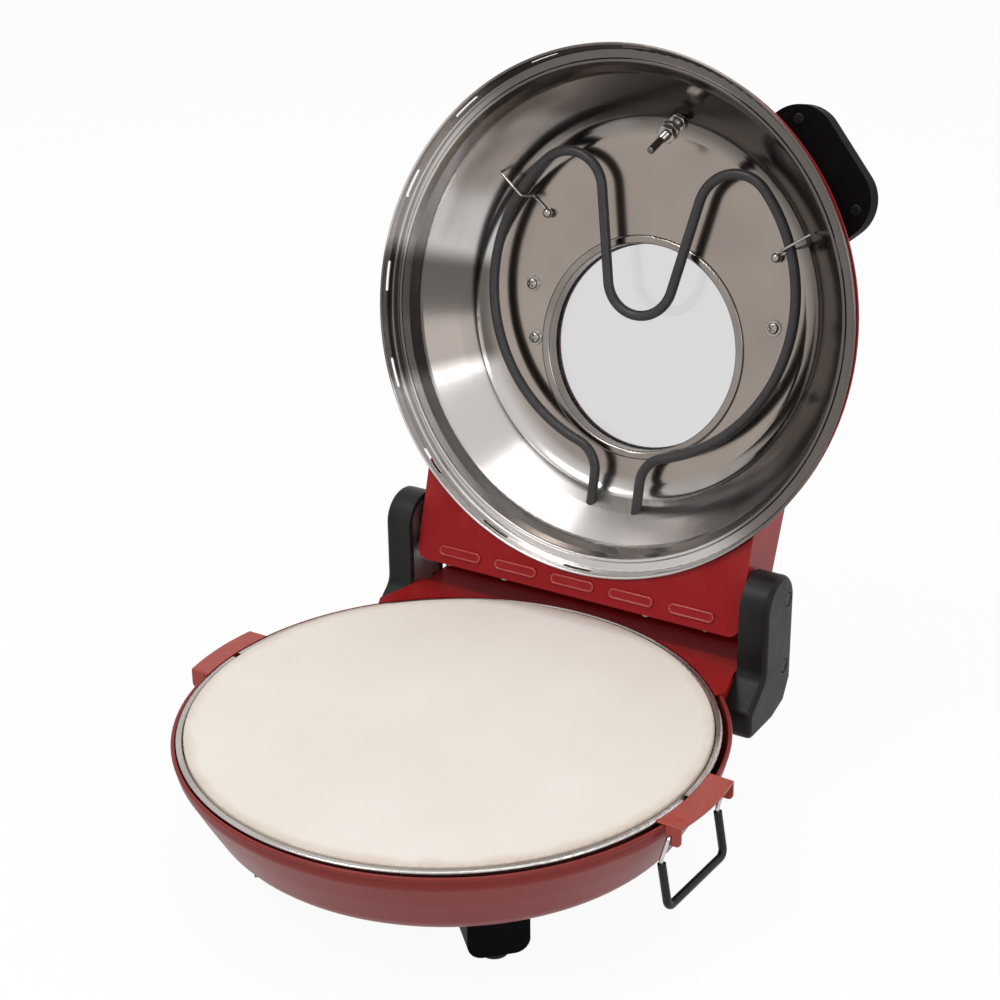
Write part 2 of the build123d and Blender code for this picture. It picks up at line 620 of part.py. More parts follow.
def bail_reach():
    """Hinge line of the bail, out from the pan's centre."""
    return STRAP_END - BAIL_HOLE_INSET


def bail_corners(side):
    """Kink and lower corner of one bail leg; side 1 is the rear leg, -1 the front one."""
    half = side * (STRAP_HALF_LENGTH + BAIL_LEG_GAP + BAIL_WIRE)
    kink = Vector(bail_reach() - BAIL_LEAN, half, bail_level() - BAIL_BARE)
    foot = Vector(bail_reach() + BAIL_FLARE, half, bail_level() - BAIL_DROP)
    return kink, foot


def make_bail_wire():
    """Bent wire bail at the pan's right, hooked into the strap's ears."""
    x, top = bail_reach(), bail_level()
    tail = STRAP_HALF_LENGTH - SHEET - BAIL_TAIL
    legs = {side: bail_corners(side) for side in (-1, 1)}
    points = [Vector(x, -tail, top), Vector(x, legs[-1][0].Y, top), *legs[-1],
              *reversed(legs[1]), Vector(x, legs[1][0].Y, top), Vector(x, tail, top)]
    radii = [BAIL_HOOK, BAIL_KINK, BAIL_BEND, BAIL_BEND, BAIL_KINK, BAIL_HOOK]
    return pipe(FilletPolyline(*points, radius=radii), BAIL_WIRE)


def make_bail_sleeve():
    """Black sleeve over the bail below its kinks."""
    ends = []
    for side in (-1, 1):
        kink, foot = bail_corners(side)
        down = (foot - kink).normalized()
        ends.append([kink + down * (BAIL_KINK / 3), foot])
    path = FilletPolyline(*ends[0], *reversed(ends[1]), radius=BAIL_BEND)
    return pipe(path, SLEEVE_RADIUS) - pipe(path, BAIL_WIRE)


# ---------------------------------------------------------------- rear housing
def pan_envelope(grow):
    """Solid that fills the pan's outside, grown by a clearance."""
    floor = PAN_BOTTOM
    rim = RIM_TOP - RIM_BEAD
    out = (PAN_WALL + grow) * WALL_SLANT
    fill = lathe(((0, floor - grow), (PAN_FLOOR_RADIUS + out / 2, floor - grow),
                  (PAN_KNEE_RADIUS + out, floor + PAN_KNEE_RISE - grow / 2),
                  (PAN_SHOULDER_RADIUS + out, floor + PAN_SHOULDER_RISE),
                  (PAN_OUTER + RIM_BEAD + grow, rim - PAN_BAND),
                  (PAN_OUTER + RIM_BEAD + grow, 2 * RIM_TOP), (0, 2 * RIM_TOP)))
    return Pos(*PAN_SHIFT, 0) * fill


def make_housing():
    """Sheet housing behind the pan: deck over the rim, trough under the hinge box, walls."""
    side = ARM_INNER
    outer = span((-side, HOUSING_FRONT, HOUSING_FLOOR), (side, HOUSING_BACK, TROUGH_TOP))
    inner = span((-side + SHEET, HOUSING_FRONT, HOUSING_FLOOR - SHEET),
                 (side - SHEET, HOUSING_BACK - SHEET, TROUGH_TOP - SHEET))
    box = (outer - pan_envelope(BODY_GAP)) - (inner - pan_envelope(BODY_GAP + SHEET))
    wing = ARM_TOP_BACK - ARM_TOP_RADIUS - DECK_ARM_PLAY
    plan = [DECK_FRONT, DECK_CORNER, (side - SEAT, wing), (side - SEAT, DECK_STEP)]
    plan += [(-x, y) for x, y in reversed(plan)]
    deck = Pos(0, 0, STRAP_TOP - SHEET) * extrude(make_face(Polyline(*plan, close=True)), SHEET)
    riser = span((-side, DECK_STEP - SHEET, TROUGH_TOP - SHEET), (side, DECK_STEP, STRAP_TOP))
    apron = span((-side, DECK_STEP - SHEET, TROUGH_TOP - SHEET), (side, HOUSING_BACK, TROUGH_TOP))
    lip = span((-side, HOUSING_BACK - SHEET, TROUGH_TOP - SHEET),
               (side, HOUSING_BACK, TROUGH_TOP + REAR_LIP))
    inner_edge = TRAY_OUTER + BODY_GAP + SEAT
    keep_out = ring(0, inner_edge, 0, 2 * STRAP_TOP)
    housing = box + (deck + riser + apron + lip - keep_out)
    for x in (-LEG_SPREAD, LEG_SPREAD):
        housing -= rod_y(ELEMENT_RADIUS + 2 * HOLE_PLAY, PAN_SHOULDER_RADIUS, HOUSING_BACK - LEG_BEND / 2,
                         x, STONE_BOTTOM - LOWER_ELEMENT_DROP)
    housing -= rod_y(CORD_GLAND_BODY + HOLE_PLAY, HOUSING_BACK - 2 * SHEET, HOUSING_BACK + SHEET,
                     GLAND_X, cord_level())
    for y, rise in BOLTS:
        for end in (-1, 1):
            x = sorted((end * (side - 2 * SHEET), end * (side + SHEET)))
            housing -= rod_x(SCREW_RADIUS + HOLE_PLAY, x[0], x[1], y, STONE_TOP + rise)
    for x, y in housing_screw_places():
        housing += span((x - HEAD_RADIUS, y - HEAD_RADIUS, HOUSING_FLOOR),
                        (x + HEAD_RADIUS, HOUSING_BACK - SHEET / 2, HOUSING_FLOOR + SHEET))
        housing -= Pos(x, y, HOUSING_FLOOR) * Cylinder(SCREW_RADIUS + HOLE_PLAY, 4 * SHEET)
    return housing


def housing_screw_places():
    """Screws of the housing's bottom cover, on tabs of the back wall."""
    reach = ARM_INNER - HOUSING_SCREW_INSET
    return [(x, HOUSING_BACK - 2 * HEAD_RADIUS) for x in (-reach, 0, reach)]


def make_housing_cover():
    """Bottom cover of the rear housing."""
    side = ARM_INNER
    low = HOUSING_FLOOR - SHEET
    cover = span((-side, HOUSING_FRONT, low), (side, HOUSING_BACK, HOUSING_FLOOR))
    cover -= pan_envelope(BODY_GAP)
    for x, y in housing_screw_places():
        cover -= Pos(x, y, low) * Cylinder(SCREW_RADIUS + HOLE_PLAY, 4 * SHEET)
    return cover


def make_housing_screws():
    """Screws up through the bottom cover."""
    places = [Pos(x, y, HOUSING_FLOOR - SHEET) * Rot(180, 0, 0) for x, y in housing_screw_places()]
    return group([place * screw(4 * SHEET) for place in places])


def cord_level():
    """Height of the cord inlet, mid-way up the housing's back wall."""
    return (HOUSING_FLOOR + TROUGH_TOP) / 2


def make_cord_gland():
    """Flanged bush in the back wall where a mains lead enters."""
    face = HOUSING_BACK
    gland = rod_y(CORD_FLANGE, face, face + 2 * SHEET, GLAND_X, cord_level())
    gland += rod_y(CORD_GLAND_BODY, face - CORD_GLAND_LENGTH, face, GLAND_X, cord_level())
    return gland - rod_y(CORD_BORE, face - 2 * CORD_GLAND_LENGTH, face + CORD_GLAND_LENGTH, GLAND_X,
                         cord_level())


def make_terminal_block():
    """Ceramic terminal block on the housing cover, with two rows of screw wells."""
    length, depth, height = TERMINAL_BLOCK
    x, y = -GLAND_X, HOUSING_BACK - SHEET - depth
    block = span((x - length / 2, y - depth / 2, HOUSING_FLOOR), (x + length / 2, y + depth / 2,
                                                                    HOUSING_FLOOR + height))
    for k in (-1, 0, 1):
        for row in (-1, 1):
            well = Pos(x + k * length / 3, y + row * depth / 4, HOUSING_FLOOR + height)
            block -= well * Cylinder(SCREW_RADIUS, height)
    return block


# ---------------------------------------------------------------- arms and hinge
def arm_outline(inset=0.0):
    """Side outline of an arm as a face in (Y, Z): round top, foot low in front, cut-off heel."""
    front = ARM_TOP_BACK - ARM_TOP_RADIUS
    top = ARM_TOP_RISE + ARM_TOP_RADIUS
    points = [(front, top), (front, ARM_WAIST), (ARM_TOE, ARM_TOE_TOP), (ARM_TOE, ARM_BOTTOM)]
    points += list(ARM_HEEL) + [(ARM_TOP_BACK + ARM_TOP_RADIUS, top)]
    face = make_face(Polyline(*[(y, STONE_TOP + z) for y, z in points], close=True))
    face = fillet(face.vertices().group_by(Axis.Y)[-1], ARM_TOP_RADIUS * 0.98)
    waist = [v for v in face.vertices() if abs(v.Y - STONE_TOP - ARM_WAIST) < 0.1]
    face = fillet(waist, ARM_WAIST_BEND)
    toe = [v for v in face.vertices() if abs(v.X - ARM_TOE) < 0.1]
    face = fillet(toe, ARM_TOE_BEND)
    return offset(face, -inset) if inset else face


def make_arm():
    """Right-hand arm: moulded shell, hollow towards the hinge, with two screw wells."""
    body = Pos(ARM_INNER, 0, 0) * extrude(Plane.YZ * arm_outline(), ARM_THICKNESS)
    body = fillet(body.edges().group_by(Axis.X)[-1], ARM_EDGE)
    pocket = extrude(Plane.YZ * arm_outline(PLASTIC_WALL), ARM_THICKNESS - PLASTIC_WALL)
    body -= Pos(ARM_INNER, 0, 0) * pocket
    for y, rise in ARM_SCREWS:
        z = STONE_TOP + rise
        boss_start = ARM_INNER + ARM_PLATE
        body += rod_x(PLUG_RADIUS + PLASTIC_WALL, boss_start, ARM_OUTER - SHEET, y, z)
        body -= rod_x(SCREW_RADIUS + HOLE_PLAY, ARM_INNER, ARM_OUTER + SHEET, y, z)
        body -= rod_x(PLUG_RADIUS + SEAT / 2, boss_start + 2 * PLASTIC_WALL, ARM_OUTER + SHEET, y, z)
    return body


def make_arm_plate():
    """Steel plate inside the right-hand arm that carries the hinge pin."""
    plate = extrude(Plane.YZ * arm_outline(ARM_PLATE_INSET), ARM_PLATE)
    plate = Pos(ARM_INNER, 0, 0) * plate
    for y, rise in ARM_SCREWS + BOLTS:
        plate -= rod_x(SCREW_RADIUS + HOLE_PLAY, 0, 2 * ARM_OUTER, y, STONE_TOP + rise)
    plate -= rod_x(HINGE_PIN_RADIUS, 0, 2 * ARM_OUTER, PIVOT_BACK, PIVOT_Z)
    plate -= rod_x(STOP_PIN_RADIUS, 0, 2 * ARM_OUTER, *stop_place())
    return plate


def make_arm_screws():
    """Two screws in the right-hand arm's wells, into its plate."""
    seat = ARM_INNER + ARM_PLATE + 2 * PLASTIC_WALL
    length = seat - ARM_INNER - SEAT
    return group([Pos(seat, y, STONE_TOP + rise) * Rot(0, 90, 0) * screw(length)
                  for y, rise in ARM_SCREWS])


def make_arm_plugs():
    """Flat plugs that close the right-hand arm's screw wells."""
    return group([rod_x(PLUG_RADIUS, ARM_OUTER - PLUG_DEPTH, ARM_OUTER, y, STONE_TOP + rise)
                  for y, rise in ARM_SCREWS])


def make_arm_bolts():
    """Screws through the right-hand arm plate and the housing side, each with its nut."""
    bolts = []
    for y, rise in BOLTS:
        place = Pos(ARM_INNER + ARM_PLATE, y, STONE_TOP + rise) * Rot(0, 90, 0)
        depth = ARM_PLATE + SHEET + HEAD_HEIGHT
        nut = Pos(0, 0, -depth) * hex_nut(2 * HEAD_RADIUS, HEAD_HEIGHT, SCREW_RADIUS)
        bolts.append(place * (screw(depth + SHEET) + nut))
    return group(bolts)


def make_hinge_pin():
    """Right-hand hinge pin, headed inside the arm."""
    head = rod_x(PIN_HEAD_RADIUS, ARM_INNER + ARM_PLATE, ARM_INNER + 2 * ARM_PLATE,
                 PIVOT_BACK, PIVOT_Z)
    return head + rod_x(HINGE_PIN_RADIUS, HINGE_BOX_HALF - 2 * HINGE_PLATE - SHEET,
                        ARM_INNER + ARM_PLATE, PIVOT_BACK, PIVOT_Z)


def make_hinge_bush():
    """Right-hand bush that turns with the lid on the hinge pin."""
    outer = HINGE_PIN_RADIUS + PIN_PLAY + BUSH_WALL
    flange = rod_x(BUSH_FLANGE, HINGE_BOX_HALF, ARM_INNER - BODY_GAP, PIVOT_BACK, PIVOT_Z)
    body = rod_x(outer, HINGE_BOX_HALF - SHEET - HINGE_PLATE, HINGE_BOX_HALF, PIVOT_BACK, PIVOT_Z)
    return flange + body - rod_x(HINGE_PIN_RADIUS + PIN_PLAY, 0, 2 * ARM_INNER, PIVOT_BACK, PIVOT_Z)


def stop_place():
    """(Y, Z) of the fixed stop pin."""
    bearing = math.radians(STOP_BEARING)
    return PIVOT_BACK + STOP_PLACE * math.cos(bearing), PIVOT_Z + STOP_PLACE * math.sin(bearing)


def make_stop_pin():
    """Right-hand stop pin in the arm plate, reaching into the lid's curved slot."""
    return rod_x(STOP_PIN_RADIUS, HINGE_BOX_HALF - HINGE_PLATE - 2 * SHEET, ARM_INNER + ARM_PLATE,
                 *stop_place())


def stop_slot():
    """Cutter for the curved slot of the shut lid, on the right-hand side."""
    play = math.degrees(STOP_PLAY / STOP_PLACE)
    arc = CenterArc((PIVOT_BACK, PIVOT_Z), STOP_PLACE, STOP_BEARING - play, OPEN_ANGLE + 2 * play)
    slot = SlotArc(arc, 2 * (STOP_PIN_RADIUS + STOP_PLAY))
    return Pos(HINGE_BOX_HALF - 4 * HINGE_PLATE, 0, 0) * extrude(Plane.YZ * slot, 5 * HINGE_PLATE)


# ---------------------------------------------------------------- lid, drawn shut
def lid_level(height):
    """Height in the shut lid, measured up from its lip."""
    return LIP_LEVEL + height


def vent_cutters():
    """Slots round the liner's band."""
    slot = span((-VENT_LENGTH / 2, -2 * LIP_RADIUS, lid_level(VENT_LEVEL - VENT_HEIGHT / 2)),
                (VENT_LENGTH / 2, LEDGE_WIDTH - LIP_RADIUS, lid_level(VENT_LEVEL + VENT_HEIGHT / 2)))
    slot = fillet(slot.edges().filter_by(Axis.Y), VENT_CORNER)
    return [around(360.0 * k / VENT_COUNT, slot) for k in range(VENT_COUNT)]


def window_cutter(radius):
    """Upright cylinder at the window's centre."""
    return Pos(0, WINDOW_SHIFT, lid_level(SHELL_HEIGHT / 2)) * Cylinder(radius, 2 * SHELL_HEIGHT)


def probe_frame():
    """Plane on the liner at the thermostat, its Z along the probe towards the oven."""
    tilt = math.radians(PROBE_TILT)
    origin = Vector(0, -PROBE_PLACE, lid_level(PROBE_LEVEL)).rotate(Axis.Z, PROBE_BEARING)
    inward = Vector(0, math.sin(tilt), -math.cos(tilt)).rotate(Axis.Z, PROBE_BEARING)
    across = Vector(1, 0, 0).rotate(Axis.Z, PROBE_BEARING)
    return Plane(origin=origin, x_dir=across, z_dir=inward)


def shell_slope():
    """Fall of the dome between crown and brow, as a share of the way outwards."""
    return (SHELL_HEIGHT - SHELL_BROW_TOP) / (SHELL_BROW_RADIUS - SHELL_CROWN_RADIUS)


def thermostat_depth():
    """Thickness of the thermostat that the cavity between liner and shell leaves room for."""
    lean = math.radians(PROBE_TILT) - math.atan(shell_slope())
    corner = THERMOSTAT_RADIUS * math.tan(abs(lean)) + SHELL_WALL / math.cos(lean)
    return shell_distance() - corner - NUT_THICKNESS - THERMOSTAT_PLAY


def shell_distance():
    """Distance along the probe's axis from the liner out to the shell's outside."""
    tilt = math.radians(PROBE_TILT)
    slope = shell_slope()
    rise = SHELL_BROW_TOP - PROBE_LEVEL + (SHELL_BROW_RADIUS - PROBE_PLACE) * slope
    return rise / (math.cos(tilt) + math.sin(tilt) * slope)


def make_liner():
    """Stainless liner: rolled lip, slotted band, ledge, curved wall and flat plateau."""
    ledge_outer = BAND_RADIUS - BAND_TAPER
    ledge_inner = ledge_outer - LEDGE_WIDTH
    lip_inner = BAND_RADIUS - BAND_TAPER * LIP_BEAD / BAND_HEIGHT
    outline = ((lip_inner, LIP_BEAD), (ledge_outer, BAND_HEIGHT), (ledge_inner, BAND_HEIGHT),
               (ledge_inner - BEAD_DEPTH / 2, BAND_HEIGHT - BEAD_DEPTH),
               (ledge_inner - BEAD_WIDTH + BEAD_DEPTH / 2, BAND_HEIGHT - BEAD_DEPTH),
               (ledge_inner - BEAD_WIDTH, BAND_HEIGHT), (STEP_RADIUS, STEP_HEIGHT),
               (WALL_RADIUS, WALL_HEIGHT), (WAIST_RADIUS, WAIST_HEIGHT),
               (SHOULDER_RADIUS, SHOULDER_HEIGHT), (PLATEAU_RADIUS, PLATEAU_TOP), (0, PLATEAU_TOP))
    points = [(r, lid_level(h)) for r, h in outline]
    lip = (LIP_RADIUS - LIP_BEAD, lid_level(LIP_BEAD), LIP_BEAD)
    liner = spun_sheet(points, LINER_BENDS, LINER_WALL, Side.RIGHT, lip)
    for cutter in vent_cutters():
        liner -= cutter
    liner -= window_cutter(WINDOW_RADIUS + 4 * LINER_WALL)
    for x in (-LEG_SPREAD, LEG_SPREAD):
        liner -= rod_y(ELEMENT_RADIUS + HOLE_PLAY, SHOULDER_RADIUS, LEG_END + TERMINAL_LENGTH, x,
                       lid_level(UPPER_ELEMENT_LEVEL))
    for place in spacer_places() + clip_screw_places():
        liner -= place * Cylinder(SCREW_RADIUS + HOLE_PLAY, 8 * LINER_WALL)
    liner -= probe_frame() * Cylinder(GLAND_RADIUS + HOLE_PLAY, 12 * LINER_WALL)
    return liner


def make_shell():
    """Painted outer dome whose turned-in flange sits on the liner's ledge, with a window hole."""
    outline = ((SHELL_OUTER - SHELL_FLANGE, SHELL_SEAT), (SHELL_OUTER, SHELL_SEAT),
               (SHELL_OUTER, SHELL_SIDE_TOP),
               (SHELL_HAUNCH_RADIUS, SHELL_HAUNCH_TOP), (SHELL_BROW_RADIUS, SHELL_BROW_TOP),
               (SHELL_CROWN_RADIUS, SHELL_HEIGHT), (0, SHELL_HEIGHT))
    points = [(r, lid_level(h)) for r, h in outline]
    shell = spun_sheet(points, SHELL_BENDS, SHELL_WALL, Side.LEFT)
    shell -= window_cutter(GLASS_RADIUS - GASKET_WIDTH)
    shell -= probe_frame() * Cylinder(KNOB_SHAFT + 2 * HOLE_PLAY, 4 * THERMOSTAT_RADIUS,
                                      align=(Align.CENTER, Align.CENTER, Align.MAX))
    for end in (-1, 1):
        shell -= handle_rivet_hole(end)
    return shell


def make_window_frame():
    """Stainless collar: a rounded bead on the plateau and a tube up to the glass."""
    low, top = lid_level(PLATEAU_TOP), lid_level(glass_bottom())
    bead = ring(WINDOW_RADIUS, WINDOW_RADIUS + WINDOW_FLANGE, low - WINDOW_BEAD, low)
    bead = fillet(bead.edges().group_by(Axis.Z)[0], WINDOW_BEAD - SEAT)
    tube = ring(WINDOW_RADIUS, WINDOW_RADIUS + LINER_WALL, low, top)
    seat = ring(WINDOW_RADIUS, WINDOW_RADIUS + 3 * LINER_WALL, top - LINER_WALL, top)
    return Pos(0, WINDOW_SHIFT, 0) * (bead + tube + seat)


def glass_bottom():
    """Underside of the window glass above the lip."""
    return SHELL_HEIGHT - SHELL_WALL - GASKET_THICKNESS - GLASS_THICKNESS


def make_glass():
    """Round window glass."""
    low = lid_level(glass_bottom())
    return Pos(0, WINDOW_SHIFT, 0) * ring(0, GLASS_RADIUS, low, low + GLASS_THICKNESS)


def make_gasket():
    """Flat gasket between glass and shell."""
    low = lid_level(glass_bottom() + GLASS_THICKNESS)
    return Pos(0, WINDOW_SHIFT, 0) * ring(GLASS_RADIUS - GASKET_WIDTH, GLASS_RADIUS, low,
                                          low + GASKET_THICKNESS)


def spacer_places():
    """Posts between plateau and shell, on the plateau's upper face."""
    level = lid_level(PLATEAU_TOP + LINER_WALL)
    return [Pos(x, -ahead, level) for x, ahead in SPACERS]


def make_spacers():
    """Four posts that tie the liner to the shell."""
    height = SHELL_HEIGHT - SHELL_WALL - PLATEAU_TOP - LINER_WALL - SEAT
    post = Cylinder(SPACER_RADIUS, height, align=(Align.CENTER, Align.CENTER, Align.MIN))
    post -= Cylinder(SCREW_RADIUS + HOLE_PLAY / 4, height, align=(Align.CENTER, Align.CENTER, Align.CENTER))
    return group([place * post for place in spacer_places()])


def make_liner_screws():
    """Screws up through the plateau into the posts, each on its washer."""
    down = Pos(0, 0, -LINER_WALL) * Rot(180, 0, 0)
    washer = ring(SCREW_RADIUS + HOLE_PLAY, WASHER_RADIUS, 0, WASHER_THICKNESS)
    fastener = Pos(0, 0, WASHER_THICKNESS) * screw(5 * LINER_WALL + WASHER_THICKNESS)
    return group([place * down * piece for place in spacer_places() for piece in (washer, fastener)])


def heart_half():
    """Right half of the upper element's path, X and distance ahead of the lid's centre."""
    x_bend = LEG_SPREAD + LEG_BEND
    y_bend = HEART_CENTRE - math.sqrt((HEART_RADIUS + LEG_BEND) ** 2 - x_bend ** 2)
    touch = math.degrees(math.atan2(y_bend - HEART_CENTRE, x_bend))
    lobe_rise = math.sqrt((HEART_RADIUS - LOBE_RADIUS) ** 2 - LOBE_SPREAD ** 2)
    lobe_turn = math.degrees(math.atan2(lobe_rise, LOBE_SPREAD))
    lobe_y = HEART_CENTRE + lobe_rise
    fall, gap = DIP_CENTRE - lobe_y, math.hypot(LOBE_SPREAD, DIP_CENTRE - lobe_y)
    heading = math.degrees(math.atan2(fall, -LOBE_SPREAD) + math.asin((LOBE_RADIUS + DIP_RADIUS) / gap))
    leave, join = 270 + heading, 90 + heading
    leg = Line((LEG_SPREAD, -LEG_END), (LEG_SPREAD, y_bend))
    bend = CenterArc((x_bend, y_bend), LEG_BEND, 180, touch)
    arc = CenterArc((0, HEART_CENTRE), HEART_RADIUS, touch, lobe_turn - touch)
    lobe = CenterArc((LOBE_SPREAD, lobe_y), LOBE_RADIUS, lobe_turn, leave - lobe_turn)
    dip = CenterArc((0, DIP_CENTRE), DIP_RADIUS, join, -90 - join)
    return [leg, bend, arc, lobe, Line(lobe @ 1, dip @ 0), dip]


def make_upper_element():
    """Heart-shaped sheathed element under the plateau, its legs running back."""
    right = heart_half()
    left = [mirror(curve, about=Plane.YZ) for curve in right]
    path = Wire([edge for curve in right + left for edge in curve.edges()])
    flat = Plane(origin=(0, 0, lid_level(UPPER_ELEMENT_LEVEL)), x_dir=(1, 0, 0), z_dir=(0, 0, -1))
    return pipe(flat * path, ELEMENT_RADIUS)


def make_element_terminals():
    """Ceramic ends and blades on the upper element's legs, in the cavity behind the liner."""
    level = lid_level(UPPER_ELEMENT_LEVEL)
    parts = []
    for x in (-LEG_SPREAD, LEG_SPREAD):
        bead = rod_y(TERMINAL_RADIUS, LEG_END, LEG_END + TERMINAL_LENGTH / 2, x, level)
        blade = span((x - ELEMENT_RADIUS / 2, LEG_END + TERMINAL_LENGTH / 2, level - SHEET / 3),
                     (x + ELEMENT_RADIUS / 2, LEG_END + TERMINAL_LENGTH, level + SHEET / 3))
        parts.append(bead + blade)
    return group(parts)


def clip_screw_places():
    """Ball-headed clip screws on the plateau."""
    level = lid_level(PLATEAU_TOP + LINER_WALL)
    return [Pos(side * x, -ahead, level) for side, (x, ahead) in CLIP_PLACES.items()]


def make_clip_screws():
    """Two ball-headed screws that clamp the wire clips to the plateau."""
    low = -LINER_WALL - 2 * ELEMENT_WIRE - SEAT - BALL_RADIUS / 3
    ball = Pos(0, 0, low) * Sphere(BALL_RADIUS)
    shank = Pos(0, 0, low) * Cylinder(
        SCREW_RADIUS, 3 * HEAD_HEIGHT, align=(Align.CENTER, Align.CENTER, Align.MIN))
    nut = hex_nut(2 * HEAD_RADIUS, HEAD_HEIGHT, SCREW_RADIUS)
    return group([place * (ball + shank + nut) for place in clip_screw_places()])


def reach_circle(start, heading, centre, radius):
    """Distance from a point inside a circle, along a unit heading, out to the circle."""
    offset = start - centre
    along = offset.dot(heading)
    return -along + math.sqrt(along ** 2 - offset.dot(offset) + radius ** 2)


def make_element_clip(side):
    """Bent wire: starts at its screw, cradles under the element, ends near the liner wall."""
    top = lid_level(PLATEAU_TOP) - ELEMENT_WIRE - SEAT
    under = lid_level(UPPER_ELEMENT_LEVEL) - ELEMENT_RADIUS - ELEMENT_WIRE - SEAT
    x, ahead = CLIP_PLACES[side]
    screw_at = Vector(x, -ahead, 0)
    heading = Vector(1, 0, 0).rotate(Axis.Z, -CLIP_BEARING)
    element_centre = Vector(0, -HEART_CENTRE, 0)
    crossing = reach_circle(screw_at, heading, element_centre, HEART_RADIUS)
    outward = (screw_at + heading * crossing - element_centre).normalized()
    hook = (ELEMENT_RADIUS + ELEMENT_WIRE + SEAT) / outward.dot(heading)
    end = reach_circle(screw_at, heading, Vector(0, 0, 0), WAIST_RADIUS - 2 * ELEMENT_WIRE)
    runs = ((SCREW_RADIUS + ELEMENT_WIRE + SEAT, top), (crossing - hook, top), (crossing - hook, under),
            (crossing + hook, under), (end, under + ELEMENT_WIRE))
    points = [screw_at + heading * along + Vector(0, 0, z) for along, z in runs]
    wire = pipe(FilletPolyline(*points, radius=CLIP_BEND), ELEMENT_WIRE)
    return wire if side > 0 else mirrored(wire)


def make_element_clips():
    """Both wire clips."""
    return group([make_element_clip(side) for side in CLIP_PLACES])


def make_probe():
    """Thermostat probe: threaded gland through the liner and a round-ended rod into the oven."""
    gland = Pos(0, 0, -NUT_THICKNESS) * Cylinder(
        GLAND_RADIUS, GLAND_LENGTH + NUT_THICKNESS, align=(Align.CENTER, Align.CENTER, Align.MIN))
    rod = Cylinder(PROBE_ROD, PROBE_LENGTH, align=(Align.CENTER, Align.CENTER, Align.MIN))
    rod = fillet(rod.edges().group_by(Axis.Z)[-1], PROBE_ROD / 2)
    return probe_frame() * (gland + rod)


def make_probe_nuts():
    """Hexagon nuts on the gland: one at the liner, two locked on each other further in."""
    nut = hex_nut(NUT_ACROSS, NUT_THICKNESS, GLAND_RADIUS)
    outer = GLAND_LENGTH - NUT_SETBACK - NUT_THICKNESS
    seats = (NUT_SEAT, outer - NUT_THICKNESS - NUT_GAP, outer)
    return group([probe_frame() * Pos(0, 0, seat) * nut for seat in seats])


def make_thermostat():
    """Thermostat body between liner and shell with its turning shaft's sleeve."""
    body = Pos(0, 0, -NUT_THICKNESS) * Cylinder(
        THERMOSTAT_RADIUS, thermostat_depth(), align=(Align.CENTER, Align.CENTER, Align.MAX))
    shaft_end = shell_distance() + KNOB_HEIGHT / 2
    shaft = Cylinder(KNOB_SHAFT, shaft_end, align=(Align.CENTER, Align.CENTER, Align.MAX))
    shaft -= Cylinder(KNOB_SHAFT, 2 * NUT_THICKNESS)
    return probe_frame() * (body + shaft)


def make_knob():
    """Round thermostat knob with a grip bar, bored for the shaft."""
    base = -shell_distance() - KNOB_GAP - SHEET
    skirt = Cylinder(KNOB_RADIUS, KNOB_HEIGHT / 3, align=(Align.CENTER, Align.CENTER, Align.MAX))
    grip = Cylinder(KNOB_GRIP_RADIUS, KNOB_HEIGHT, align=(Align.CENTER, Align.CENTER, Align.MAX))
    grip = fillet(grip.edges().group_by(Axis.Z)[0], KNOB_EDGE)
    knob = skirt + grip
    flute = Cylinder(KNOB_FLUTE_RADIUS, KNOB_HEIGHT * 2 / 3, align=(Align.CENTER, Align.CENTER, Align.MAX))
    for k in range(KNOB_FLUTES):
        turn = Rot(0, 0, 360.0 * k / KNOB_FLUTES)
        knob -= turn * Pos(KNOB_GRIP_RADIUS + KNOB_FLUTE_RADIUS / 2, 0, -KNOB_HEIGHT / 3) * flute
    knob -= Cylinder(KNOB_SHAFT + KNOB_BORE_PLAY, KNOB_HEIGHT + KNOB_GAP)
    return probe_frame() * Pos(0, 0, base) * knob


def handle_reach():
    """Front edge of the handle from the lid's centre."""
    share = (HANDLE_LOW - SHELL_SIDE_TOP) / (SHELL_HAUNCH_TOP - SHELL_SIDE_TOP)
    return SHELL_OUTER - SHELL_HAUNCH_INSET * share + HANDLE_LENGTH


def handle_outline(inset=0.0):
    """D-shaped plan of the handle at the front, outside the dome."""
    half = HANDLE_HALF_WIDTH - inset
    reach = handle_reach() - inset
    face = make_face(Polyline((-half, -reach), (half, -reach), (half, -SHELL_BROW_RADIUS),
                              (-half, -SHELL_BROW_RADIUS), close=True))
    return fillet(face.vertices().group_by(Axis.Y)[0], HANDLE_CORNER - inset)


def dome_envelope(grow):
    """Solid that fills the shut lid's dome, grown by a clearance."""
    return lathe(((0, lid_level(0)), (SHELL_OUTER + grow, lid_level(0)),
                  (SHELL_OUTER + grow, lid_level(SHELL_SIDE_TOP)),
                  (SHELL_HAUNCH_RADIUS + grow, lid_level(SHELL_HAUNCH_TOP)),
                  (SHELL_BROW_RADIUS + grow, lid_level(SHELL_BROW_TOP + grow)),
                  (SHELL_CROWN_RADIUS, lid_level(SHELL_HEIGHT + grow)),
                  (0, lid_level(SHELL_HEIGHT + grow))))


